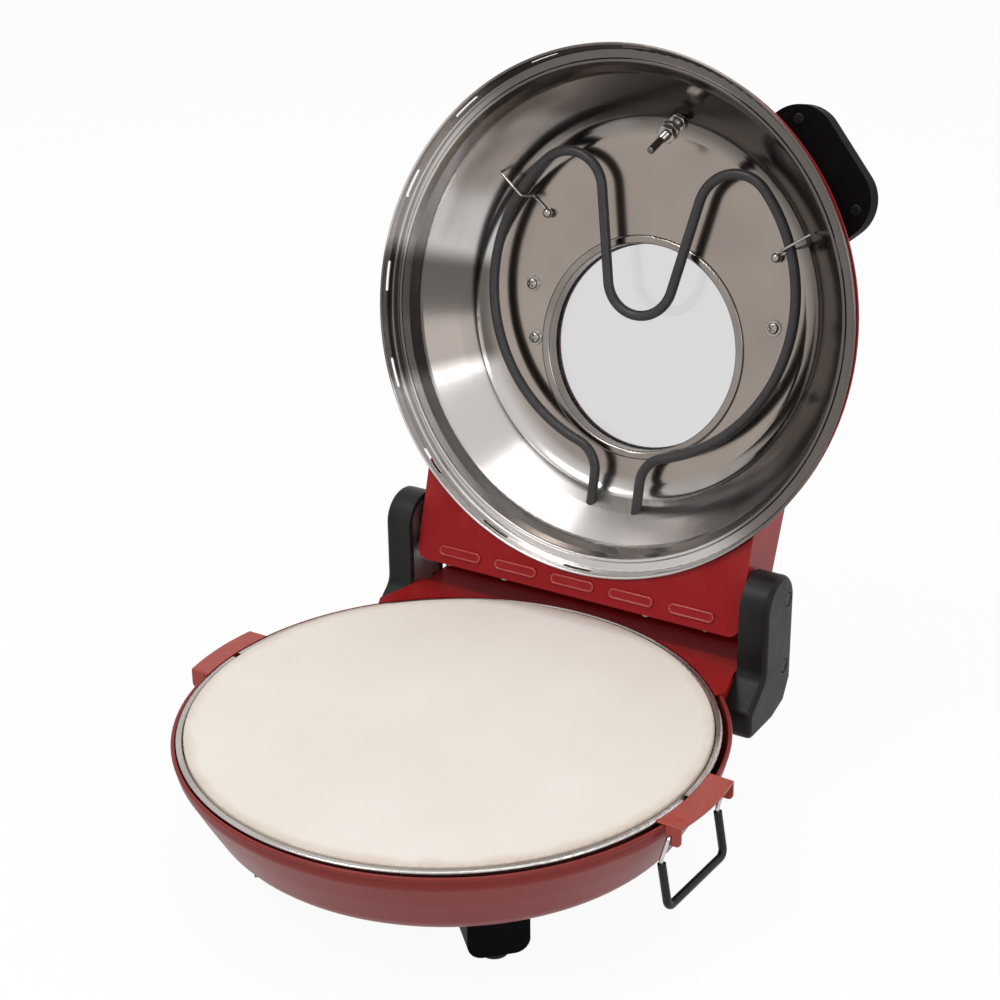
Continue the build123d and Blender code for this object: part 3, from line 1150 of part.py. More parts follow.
def make_handle():
    """Moulded handle: tongue with a pocket below, its back following the dome."""
    low = lid_level(HANDLE_LOW)
    body = Pos(0, 0, low) * extrude(handle_outline(), HANDLE_THICKNESS)
    edges = body.edges().group_by(Axis.Z)
    rounded = edges[-1].filter_by(lambda e: e.center().Y < 2 * HANDLE_CORNER - handle_reach())
    body = fillet(rounded, HANDLE_EDGE)
    pocket = Pos(0, 0, low) * extrude(handle_outline(PLASTIC_WALL), HANDLE_THICKNESS - 2 * PLASTIC_WALL)
    body -= pocket - dome_envelope(HANDLE_GAP + PLASTIC_WALL)
    for end in (-1, 1):
        boss = Pos(end * HANDLE_SCREW_SPREAD, HANDLE_SCREW_BACK - handle_reach(), low + HANDLE_COVER)
        body += boss * Cylinder(SCREW_RADIUS + PLASTIC_WALL, HANDLE_THICKNESS - PLASTIC_WALL - HANDLE_COVER,
                                align=(Align.CENTER, Align.CENTER, Align.MIN))
        body -= boss * Cylinder(SCREW_RADIUS + HOLE_PLAY / 4, HANDLE_THICKNESS / 2,
                                align=(Align.CENTER, Align.CENTER, Align.MIN))
    body -= dome_envelope(HANDLE_GAP)
    body = around(HANDLE_BEARING, body)
    for end in (-1, 1):
        body -= handle_rivet_hole(end)
    return body


def make_handle_cover():
    """Flat cover let into the handle's underside."""
    low = lid_level(HANDLE_LOW)
    cover = Pos(0, 0, low) * extrude(handle_outline(PLASTIC_WALL + SEAT / 2), HANDLE_COVER)
    cover -= dome_envelope(HANDLE_GAP + PLASTIC_WALL + SEAT / 2)
    for end in (-1, 1):
        place = Pos(end * HANDLE_SCREW_SPREAD, HANDLE_SCREW_BACK - handle_reach(), low)
        cover -= place * Cylinder(SCREW_RADIUS + HOLE_PLAY, 4 * HANDLE_COVER)
        cover -= place * Cylinder(HEAD_RADIUS + HOLE_PLAY, HANDLE_COVER,
                                  align=(Align.CENTER, Align.CENTER, Align.CENTER))
    return around(HANDLE_BEARING, cover)


def make_handle_screws():
    """Two screws up through the handle's cover."""
    seat = lid_level(HANDLE_LOW) + HANDLE_COVER / 2
    screws = [Pos(end * HANDLE_SCREW_SPREAD, HANDLE_SCREW_BACK - handle_reach(), seat) * Rot(180, 0, 0)
              * screw(HANDLE_THICKNESS / 3, head_height=HANDLE_COVER / 2) for end in (-1, 1)]
    return group([around(HANDLE_BEARING, s) for s in screws])


def handle_rivet_frame(end):
    """Plane of one hidden handle rivet, Z outwards from the dome."""
    level = lid_level(HANDLE_LOW + HANDLE_RIVET_RISE)
    bearing = HANDLE_BEARING + end * HANDLE_RIVET_SPREAD
    origin = Vector(0, -SHELL_HAUNCH_RADIUS, level).rotate(Axis.Z, bearing)
    out = Vector(0, -1, 0).rotate(Axis.Z, bearing)
    return Plane(origin=origin, x_dir=(0, 0, 1), z_dir=out)


def handle_rivet_hole(end):
    """Clearance hole of one handle rivet through shell and handle wall."""
    return handle_rivet_frame(end) * Cylinder(SCREW_RADIUS + HOLE_PLAY, 6 * PLASTIC_WALL)


def make_handle_rivets():
    """Two rivets from inside the shell into the handle's back wall."""
    seat = Pos(0, 0, -HANDLE_RIVET_DEPTH)
    shank = seat * Cylinder(SCREW_RADIUS, HANDLE_RIVET_DEPTH + PLASTIC_WALL + SEAT,
                            align=(Align.CENTER, Align.CENTER, Align.MIN))
    head = seat * Cylinder(RIVET_RADIUS, SHEET, align=(Align.CENTER, Align.CENTER, Align.MAX))
    return group([handle_rivet_frame(end) * (shank + head) for end in (-1, 1)])


# ---------------------------------------------------------------- hinge box, drawn shut
def hinge_box_points(inset=0.0, drop=0.0):
    """Side outline of the hinge box as (Y, Z); inset is the sheet's wall."""
    slope = [(y - inset * 0.5, lid_level(h) - inset) for y, h in HINGE_BOX_SLOPE]
    front = HINGE_BOX_SLOPE[-1][0]
    return [(front, lid_level(HINGE_BOX_FRONT_LOW) - drop),
            (HINGE_BOX_BACK - inset, lid_level(HINGE_BOX_REAR_LOW) - drop),
            (HINGE_BOX_BACK - inset, lid_level(HINGE_BOX_BACK_HEIGHT) - inset * 0.7)] + slope


def box_plan(half):
    """Upright prism with rounded rear corners, which trims the hinge box."""
    back = HINGE_BOX_BACK
    plan = make_face(Polyline((-half, 0), (half, 0), (half, back), (-half, back), close=True))
    plan = fillet(plan.vertices().group_by(Axis.Y)[-1], HINGE_BOX_CORNER)
    return Pos(0, 0, LIP_LEVEL - SHELL_HEIGHT) * extrude(plan, 3 * SHELL_HEIGHT)


def make_hinge_box():
    """Painted sheet box behind the dome that carries the hinge."""
    half = HINGE_BOX_HALF
    outer = side_profile(hinge_box_points(), -half, half) & box_plan(half)
    trim = make_cover_blank(4 * SHEET)
    inner = side_profile(hinge_box_points(SHEET, 2 * SHEET), -half + SHEET, half - SHEET)
    plan = make_face(Polyline((-half + SHEET, 0), (half - SHEET, 0), (half - SHEET, HINGE_BOX_BACK - SHEET),
                              (-half + SHEET, HINGE_BOX_BACK - SHEET), close=True))
    plan = fillet(plan.vertices().group_by(Axis.Y)[-1], HINGE_BOX_CORNER - SHEET)
    inner &= Pos(0, 0, LIP_LEVEL - SHELL_HEIGHT) * extrude(plan, 3 * SHELL_HEIGHT)
    box = outer - inner - dome_envelope(BODY_GAP) - trim
    for side in (-1, 1):
        hole = rod_x(HINGE_PIN_RADIUS + PIN_PLAY + BUSH_WALL + SEAT / 4, half - 2 * HINGE_PLATE,
                     half + SHEET, PIVOT_BACK, PIVOT_Z)
        box -= hole if side > 0 else mirrored(hole)
        box -= stop_slot() if side > 0 else mirrored(stop_slot())
    for x in COVER_SCREWS:
        box -= rod_y(SCREW_RADIUS + HOLE_PLAY, HINGE_BOX_BACK - 3 * SHEET, HINGE_BOX_BACK + SHEET, x,
                     cover_screw_level())
    return box


def make_cover_blank(reach_down):
    """Tilted slab whose upper face is the inside of the hinge box's bottom cover."""
    front, back = 0.0, HINGE_BOX_BACK + 4 * SHEET
    slope = (HINGE_BOX_FRONT_LOW - HINGE_BOX_REAR_LOW) / (HINGE_BOX_BACK - HINGE_BOX_FRONT)
    level = [lid_level(HINGE_BOX_REAR_LOW + (HINGE_BOX_BACK - y) * slope) + SHEET for y in (front, back)]
    points = ((front, level[0]), (back, level[1]), (back, level[1] - reach_down),
              (front, level[0] - reach_down))
    return side_profile(points, -2 * HINGE_BOX_HALF, 2 * HINGE_BOX_HALF)


def cover_screw_level():
    """Height of the screws that hold the cover's rear flange."""
    return lid_level(HINGE_BOX_REAR_LOW) + SHEET + HEAD_RADIUS


def make_hinge_cover():
    """Bottom cover of the hinge box, facing the user when the lid is open, with louvres."""
    half = HINGE_BOX_HALF
    plate = make_cover_blank(SHEET) & box_plan(half)
    plate -= ring(0, LIP_RADIUS + BODY_GAP, 0, lid_level(SHELL_HEIGHT))
    top = lid_level(HINGE_BOX_REAR_LOW) + 2 * HEAD_RADIUS
    flange = span((-half + 2 * HINGE_BOX_CORNER, HINGE_BOX_BACK - 2 * SHEET, lid_level(HINGE_BOX_REAR_LOW)),
                  (half - 2 * HINGE_BOX_CORNER, HINGE_BOX_BACK - SHEET, top + SHEET))
    cover = plate + (flange - make_cover_blank(8 * SHEET))
    slope = (HINGE_BOX_FRONT_LOW - HINGE_BOX_REAR_LOW) / (HINGE_BOX_BACK - HINGE_BOX_FRONT)
    level = lid_level(HINGE_BOX_REAR_LOW + (HINGE_BOX_BACK - LOUVRE_PLACE) * slope)
    for k in range(LOUVRE_COUNT):
        x = (k - (LOUVRE_COUNT - 1) / 2) * LOUVRE_PITCH
        place = Pos(x, LOUVRE_PLACE, level) * Rot(-math.degrees(math.atan(slope)), 0, 0)
        rib = extrude(SlotOverall(LOUVRE_LENGTH, LOUVRE_HEIGHT), -LOUVRE_PROUD, taper=LOUVRE_TAPER)
        cover += place * rib
    for x in COVER_SCREWS:
        cover -= rod_y(SCREW_RADIUS + HOLE_PLAY / 4, HINGE_BOX_BACK - 3 * SHEET, HINGE_BOX_BACK, x,
                       cover_screw_level())
    return cover


def make_cover_screws():
    """Screws through the box's back wall into the cover's flange."""
    return group([Pos(x, HINGE_BOX_BACK, cover_screw_level()) * Rot(-90, 0, 0)
                  * screw(3 * SHEET, head_radius=RIVET_RADIUS)
                  for x in COVER_SCREWS])


def make_hinge_plate():
    """Right-hand steel plate inside the hinge box, bored for the bush and slotted for the stop."""
    back = HINGE_BOX_BACK - HINGE_BOX_CORNER
    front = HINGE_BOX_FRONT + HINGE_PLATE_START
    points = ((front, lid_level(HINGE_BOX_FRONT_LOW) + 2 * SHEET),
              (back, lid_level(HINGE_BOX_REAR_LOW) + 4 * SHEET),
              (back, lid_level(HINGE_BOX_BACK_HEIGHT)),
              (back - HINGE_BOX_CORNER, lid_level(HINGE_BOX_SLOPE[0][1]) - 2 * SHEET),
              (HINGE_BOX_SLOPE[1][0], lid_level(HINGE_BOX_SLOPE[1][1]) - 2 * SHEET),
              (front, lid_level(HINGE_BOX_SLOPE[1][1]) - 2 * SHEET))
    outer = HINGE_BOX_HALF - SHEET
    plate = side_profile(points, outer - HINGE_PLATE, outer)
    plate -= dome_envelope(2 * BODY_GAP)
    plate -= rod_x(HINGE_PIN_RADIUS + PIN_PLAY + BUSH_WALL + SEAT / 4, 0, 2 * outer, PIVOT_BACK, PIVOT_Z)
    return plate - stop_slot()


# ---------------------------------------------------------------- assembly
def build():
    """Make every node, the lid's nodes turned open about the hinge."""
    nodes["baking_stone"] = make_stone()
    nodes["stone_tray"] = make_tray()
    nodes["base_pan"] = make_pan()
    names = ("foot_front_left", "foot_front_right", "foot_rear_right", "foot_rear_left")
    for name, (_, bearing) in zip(names, foot_places()):
        nodes[name] = make_foot(bearing)
    nodes["foot_pads"] = group([make_foot_pad(bearing) for _, bearing in foot_places()])
    nodes["foot_screws"] = make_foot_screws()
    nodes["tray_standoffs"] = make_standoffs()
    nodes["standoff_screws"] = make_standoff_screws()
    nodes["lower_element"] = make_lower_element()
    nodes["lower_element_clips"] = make_lower_clips()
    nodes["rear_housing"] = make_housing()
    nodes["housing_cover"] = make_housing_cover()
    nodes["housing_screws"] = make_housing_screws()
    nodes["cord_gland"] = make_cord_gland()
    nodes["terminal_block"] = make_terminal_block()
    for word, side in (("right", 1), ("left", -1)):
        nodes["side_strap_" + word] = placed_strap(side)
        nodes["bail_wire_" + word] = on_side(make_bail_wire(), side)
        nodes["bail_sleeve_" + word] = on_side(make_bail_sleeve(), side)
    nodes["strap_rivets"] = group([on_side(make_strap_rivets(), side) for side in (1, -1)])
    pairs = {"arm": make_arm(), "arm_plate": make_arm_plate()}
    for name, shape in pairs.items():
        nodes[name + "_right"] = shape
        nodes[name + "_left"] = mirrored(shape)
    shared = {"arm_screws": make_arm_screws(), "arm_plugs": make_arm_plugs(), "arm_bolts": make_arm_bolts(),
              "hinge_pins": make_hinge_pin(), "stop_pins": make_stop_pin()}
    for name, shape in shared.items():
        nodes[name] = group([shape, mirrored(shape)])
    lid_pairs = {"hinge_bush": make_hinge_bush(), "hinge_plate": make_hinge_plate()}
    for name, shape in lid_pairs.items():
        nodes[name + "_right"] = lid_part(shape)
        nodes[name + "_left"] = lid_part(mirrored(shape))
    lid = {"lid_liner": make_liner, "lid_shell": make_shell, "window_frame": make_window_frame,
           "window_glass": make_glass, "window_gasket": make_gasket, "lid_spacers": make_spacers,
           "liner_screws": make_liner_screws, "upper_element": make_upper_element,
           "element_terminals": make_element_terminals, "element_clips": make_element_clips,
           "clip_screws": make_clip_screws, "thermostat_probe": make_probe,
           "probe_nuts": make_probe_nuts, "thermostat_body": make_thermostat,
           "thermostat_knob": make_knob, "lid_handle": make_handle, "handle_cover": make_handle_cover,
           "handle_screws": make_handle_screws, "handle_rivets": make_handle_rivets,
           "hinge_box": make_hinge_box, "hinge_box_cover": make_hinge_cover,
           "cover_screws": make_cover_screws}
    for name, maker in lid.items():
        nodes[name] = lid_part(maker())


build()
os.makedirs("parts", exist_ok=True)
for node_name, node_shape in nodes.items():
    export_step(node_shape, f"parts/{node_name}.step")
print(len(nodes), "nodes")
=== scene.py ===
import logging
import math
from dataclasses import dataclass, field
from enum import Enum
from typing import Iterable, Optional, Sequence

import bpy
import numpy as np
from mathutils import Matrix, Vector


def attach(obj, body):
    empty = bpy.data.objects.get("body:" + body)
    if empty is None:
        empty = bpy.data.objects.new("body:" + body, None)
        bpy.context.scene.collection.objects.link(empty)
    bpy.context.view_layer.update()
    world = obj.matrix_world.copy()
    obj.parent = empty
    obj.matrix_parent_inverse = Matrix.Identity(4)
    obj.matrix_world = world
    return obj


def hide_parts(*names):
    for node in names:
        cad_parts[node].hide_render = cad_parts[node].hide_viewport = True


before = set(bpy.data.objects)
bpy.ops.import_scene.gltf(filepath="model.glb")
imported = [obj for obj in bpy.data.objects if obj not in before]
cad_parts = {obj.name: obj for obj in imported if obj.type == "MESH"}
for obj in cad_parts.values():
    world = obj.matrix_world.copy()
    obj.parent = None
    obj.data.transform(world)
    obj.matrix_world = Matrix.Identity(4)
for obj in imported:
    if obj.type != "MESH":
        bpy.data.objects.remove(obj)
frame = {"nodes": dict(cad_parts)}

LOG = logging.getLogger("pizza_maker")

PIVOT = np.array((0.0, 0.1684, 0.114))
OPEN_TURN = math.radians(102.5)
LIP_LEVEL = 0.090
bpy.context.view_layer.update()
MM = 0.001

Colour = tuple[float, float, float]


class Body(str, Enum):
    """Names of the CAD bodies that new pieces ride on."""

    BASE = "base"
    LID = "lid"
    KNOB = "knob"
    STONE = "stone"
    BAIL_LEFT = "bail_left"
    BAIL_RIGHT = "bail_right"


class Slot(str, Enum):
    """Material slots of the record."""

    STONE = "stone"
    PAN = "pan_paint"
    LID = "lid_paint"
    STAINLESS = "stainless"
    STEEL = "steel"
    ZINC = "zinc"
    CHROME = "chrome"
    ELEMENT = "element"
    BLACK = "black_plastic"
    SLEEVE = "sleeve"
    RUBBER = "rubber"
    GLASS = "glass"
    GASKET = "gasket"
    CERAMIC = "ceramic"
    PLUG = "plug"


# ------------------------------------------------------------------ mesh helpers
@dataclass
class Patch:
    """A surface as arrays: points (n, 3) and quads (m, 4); a repeated index makes a triangle."""

    points: np.ndarray
    quads: np.ndarray

    def joined(self, *others: "Patch") -> "Patch":
        """Return this patch and the others as one."""
        patches = (self, *others)
        starts = np.cumsum([0] + [len(p.points) for p in patches[:-1]])
        quads = [p.quads + start for p, start in zip(patches, starts)]
        return Patch(np.concatenate([p.points for p in patches]), np.concatenate(quads))

    def moved(self, matrix: np.ndarray) -> "Patch":
        """Return the patch carried by a 4 by 4 matrix."""
        return Patch(self.points @ matrix[:3, :3].T + matrix[:3, 3], self.quads)


def grid_quads(rows: int, columns: int, wrap: bool) -> np.ndarray:
    """Quads between neighbouring rows and columns of a grid.

    Args:
        rows: points along the first parameter.
        columns: points along the second parameter.
        wrap: whether the last column joins the first.

    Returns:
        Array (m, 4) of indices, point (i, j) having index i * columns + j.
    """
    i, j = np.meshgrid(np.arange(rows - 1), np.arange(columns if wrap else columns - 1), indexing="ij")
    k = (j + 1) % columns
    quads = np.stack((i * columns + j, i * columns + k, (i + 1) * columns + k, (i + 1) * columns + j), -1)
    return quads.reshape(-1, 4)


def lathe(profile: np.ndarray, segments: int = 192) -> Patch:
    """Surface of revolution about Z: point (i, t) is (r_i cos t, r_i sin t, z_i).

    Args:
        profile: array (n, 2) of radius and height, walked with the outside on its right hand.
        segments: points round the axis.

    Returns:
        The surface, its quads facing right of the walk.
    """
    turn = np.linspace(0, 2 * math.pi, segments, endpoint=False)
    radius, height = profile[:, 0][:, None], profile[:, 1][:, None]
    points = np.stack((radius * np.cos(turn), radius * np.sin(turn), height + 0 * turn), -1)
    return Patch(points.reshape(-1, 3), grid_quads(len(profile), segments, True))


def rounded(corners: Sequence[tuple[float, float]], radii: Sequence[float], steps: int = 8) -> np.ndarray:
    """Polyline whose inner corners are arcs tangent to both neighbours.

    Each arc keeps the distance d = r tan(a / 2) from its corner, a being the turn there.

    Args:
        corners: the polyline's corners, (x, y).
        radii: one radius for each inner corner.
        steps: points along each arc.

    Returns:
        Array (n, 2) of points.
    """
    spots = [np.asarray(corners[0], float)]
    for before, corner, after, radius in zip(corners, corners[1:], corners[2:], radii):
        spot = np.asarray(corner, float)
        back = np.asarray(before, float) - spot
        ahead = np.asarray(after, float) - spot
        back /= np.linalg.norm(back)
        ahead /= np.linalg.norm(ahead)
        half = math.acos(float(np.clip(back @ ahead, -1, 1))) / 2
        centre = spot + (back + ahead) / np.linalg.norm(back + ahead) * radius / math.sin(half)
        start = spot + back * radius / math.tan(half) - centre
        end = spot + ahead * radius / math.tan(half) - centre
        sweep = math.pi - 2 * half
        share = np.linspace(0, 1, steps)[:, None]
        arc = (np.sin((1 - share) * sweep) * start + np.sin(share * sweep) * end) / math.sin(sweep)
        spots.extend(centre + arc)
    spots.append(np.asarray(corners[-1], float))
    return np.array(spots)


def tube(path: np.ndarray, across: np.ndarray, radius: float, sides: int = 16) -> Patch:
    """Tube along a flat path: point (i, t) is path_i + r (cos t across + sin t (across x tangent)).

    Args:
        path: array (n, 3).
        across: unit normal of the path's plane.
        radius: tube radius.
        sides: points round the tube.

    Returns:
        The tube with both ends drawn in to a point.
    """
    tangent = np.gradient(path, axis=0)
    tangent /= np.linalg.norm(tangent, axis=1, keepdims=True)
    side = np.cross(across, tangent)
    turn = np.linspace(0, 2 * math.pi, sides, endpoint=False)[None, :, None]
    ring = np.cos(turn) * across + np.sin(turn) * side[:, None, :]
    reach = np.full(len(path) + 2, radius)
    reach[0] = reach[-1] = 1e-6
    order = np.r_[0, np.arange(len(path)), len(path) - 1]
    points = path[order][:, None, :] + ring[order] * reach[:, None, None]
    return Patch(points.reshape(-1, 3), grid_quads(len(order), sides, True))


def domed(radius: float, height: float, rows: int = 14, power: float = 4.0) -> np.ndarray:
    """Profile of a domed head, seat to crown: z = h (1 - (r / R)^p)^(1/2), walked from the rim in."""
    turn = np.linspace(0, math.pi / 2, rows)
    share = np.cos(turn)
    crown = np.stack((radius * share, height * np.sqrt(1 - share ** power)), -1)
    return np.concatenate((((0.0, 0.0), (radius, 0.0)), crown[1:]))


def cross_head(radius: float, height: float, reach: float, width: float, depth: float,
               segments: int = 96) -> Patch:
    """Domed screw head with a cross recess, its seat on z = 0.

    A point sinks by depth times the smooth mask max(a(x) b(y), a(y) b(x)), a being a step at
    half the width and b one at the recess's reach.

    Args:
        radius: head radius.
        height: head height.
        reach: half the recess's length.
        width: width of a recess arm.
        depth: depth of the recess.
        segments: points round the head.

    Returns:
        The closed head.
    """
    seat = domed(radius, height)
    share = np.linspace(1, 0, 26)[:, None]
    outer = seat[2:8]
    inner = np.concatenate((share * outer[-1, 0], np.interp(
        share[::-1, 0] * outer[-1, 0], seat[2:, 0][::-1], seat[2:, 1][::-1])[::-1, None]), 1)
    profile = np.concatenate((seat[:2], outer[:-1], inner))
    head = lathe(profile, segments)
    x, y, z = head.points.T
    soft = 0.12 * MM

    def step(value: np.ndarray, edge: float) -> np.ndarray:
        """Smooth fall from 1 to 0 where the value passes the edge."""
        t = np.clip((edge - np.abs(value)) / soft + 0.5, 0, 1)
        return t * t * (3 - 2 * t)

    mask = np.maximum(step(x, width / 2) * step(y, reach), step(y, width / 2) * step(x, reach))
    head.points[:, 2] = np.where(z > height * 0.4, z - depth * mask, z)
    return head


def threaded_rod(radius: float, depth: float, pitch: float, start: float, end: float,
                 sides: int = 32) -> Patch:
    """Screw thread along Z: radius R - d |2 f - 1|, f being the fraction of z / pitch - turn."""
    rows = max(2, int(abs(end - start) / pitch * 8))
    height = np.linspace(start, end, rows)[:, None]
    turn = np.linspace(0, 2 * math.pi, sides, endpoint=False)
    phase = (height / pitch - turn / (2 * math.pi)) % 1.0
    reach = radius - depth * np.abs(2 * phase - 1)
    points = np.stack((reach * np.cos(turn), reach * np.sin(turn), height + 0 * turn), -1)
    tip = np.stack((0 * turn, 0 * turn, 0 * turn), -1)
    points = np.concatenate(((tip + (0, 0, start))[None], points, (tip + (0, 0, end))[None]))
    return Patch(points.reshape(-1, 3), grid_quads(rows + 2, sides, True))


def chamfered_nut(across: float, thickness: float, bore: float, segments: int = 72) -> Patch:
    """Hexagon nut on z = 0: reach a / cos(t) off each flat's middle, edges falling at 30 degrees."""
    turn = np.linspace(0, 2 * math.pi, segments, endpoint=False)
    off = (turn + math.pi / 6) % (math.pi / 3) - math.pi / 6
    flat = across / 2
    reach = flat / np.cos(off)
    fall = (reach - flat) * math.tan(math.radians(30)) + 0.15 * MM
    chamfer, inner = np.full(segments, flat * 0.97), np.full(segments, bore)
    rows = ((inner + 0.3 * MM, 0 * turn), (chamfer, 0 * turn), (reach, fall), (reach, thickness - fall),
            (chamfer, 0 * turn + thickness), (inner + 0.3 * MM, 0 * turn + thickness),
            (inner, 0 * turn + thickness - 0.3 * MM), (inner, 0 * turn + 0.3 * MM),
            (inner + 0.3 * MM, 0 * turn))
    points = np.array([np.stack((r * np.cos(turn), r * np.sin(turn), z), -1) for r, z in rows])
    return Patch(points.reshape(-1, 3), grid_quads(len(rows), segments, True))


def frame_matrix(origin: np.ndarray, x_axis: np.ndarray, z_axis: np.ndarray) -> np.ndarray:
    """4 by 4 matrix whose columns are the X axis, Z cross X, the Z axis and the origin."""
    z = np.asarray(z_axis, float) / np.linalg.norm(z_axis)
    x = np.asarray(x_axis, float)
    x = x - z * (x @ z)
    x /= np.linalg.norm(x)
    matrix = np.eye(4)
    matrix[:3, :4] = np.column_stack((x, np.cross(z, x), z, np.asarray(origin, float)))
    return matrix


def opening_matrix() -> np.ndarray:
    """Matrix that turns a point of the shut lid to its place in the open rest pose."""
    c, s = math.cos(-OPEN_TURN), math.sin(-OPEN_TURN)
    matrix = np.eye(4)
    matrix[1:3, 1:3] = ((c, -s), (s, c))
    matrix[:3, 3] = PIVOT - matrix[:3, :3] @ PIVOT
    return matrix


def build_object(name: str, patch: Patch, material: bpy.types.Material, crease: float = 40.0,
                 recalculate: bool = True) -> bpy.types.Object:
    """Turn a patch into a Blender object at the origin.

    Args:
        name: piece name.
        patch: points and quads in metres.
        material: finish of the piece.
        crease: angle in degrees above which an edge is sharp.
        recalculate: merge doubles and turn the faces outwards.

    Returns:
        The linked object.
    """
    mesh = bpy.data.meshes.new(name)
    mesh.from_pydata(patch.points.tolist(), [], patch.quads.tolist())
    mesh.validate()
    mesh.update()
    if recalculate:
        import bmesh
        work = bmesh.new()
        work.from_mesh(mesh)
        bmesh.ops.remove_doubles(work, verts=work.verts, dist=2e-6)
        bmesh.ops.dissolve_degenerate(work, edges=work.edges, dist=1e-7)
        bmesh.ops.recalc_face_normals(work, faces=work.faces)
        work.to_mesh(mesh)
        work.free()
    mesh.shade_smooth()
    mesh.set_sharp_from_angle(angle=math.radians(crease))
    mesh.materials.append(material)
    thing = bpy.data.objects.new(name, mesh)
    bpy.context.scene.collection.objects.link(thing)
    return thing


# ------------------------------------------------------------------ shader helpers
class NodeTree:
    """Short-hand for filling a node tree."""

    def __init__(self, tree: bpy.types.NodeTree) -> None:
        """Keep the tree that nodes are added to."""
        self.tree = tree

    def add(self, kind: str, inputs: Optional[dict] = None, **settings) -> bpy.types.Node:
        """Add a node.

        Args:
            kind: node type.
            inputs: socket name or number to a value or an output socket.
            settings: node properties.

        Returns:
            The node.
        """
        node = self.tree.nodes.new(kind)
        for key, value in settings.items():
            setattr(node, key, value)   # a group's tree first, because it makes the sockets
        for key, value in (inputs or {}).items():
            if isinstance(value, bpy.types.NodeSocket):
                self.tree.links.new(value, node.inputs[key])
            else:
                node.inputs[key].default_value = value
        return node


def new_group(name: str, inputs: dict[str, tuple[str, object]], outputs: dict[str, str]
              ) -> tuple[bpy.types.NodeTree, NodeTree, bpy.types.Node, bpy.types.Node]:
    """Make an empty shader group with named sockets.

    Args:
        name: group name.
        inputs: socket name to its type and default.
        outputs: socket name to its type.

    Returns:
        The group, a filler for it, its input node and its output node.
    """
    group = bpy.data.node_groups.new(name, "ShaderNodeTree")
    for label, (kind, default) in inputs.items():
        socket = group.interface.new_socket(label, in_out="INPUT", socket_type=kind)
        if default is not None:
            socket.default_value = default
    for label, kind in outputs.items():
        group.interface.new_socket(label, in_out="OUTPUT", socket_type=kind)
    tree = NodeTree(group)
    return group, tree, tree.add("NodeGroupInput"), tree.add("NodeGroupOutput")


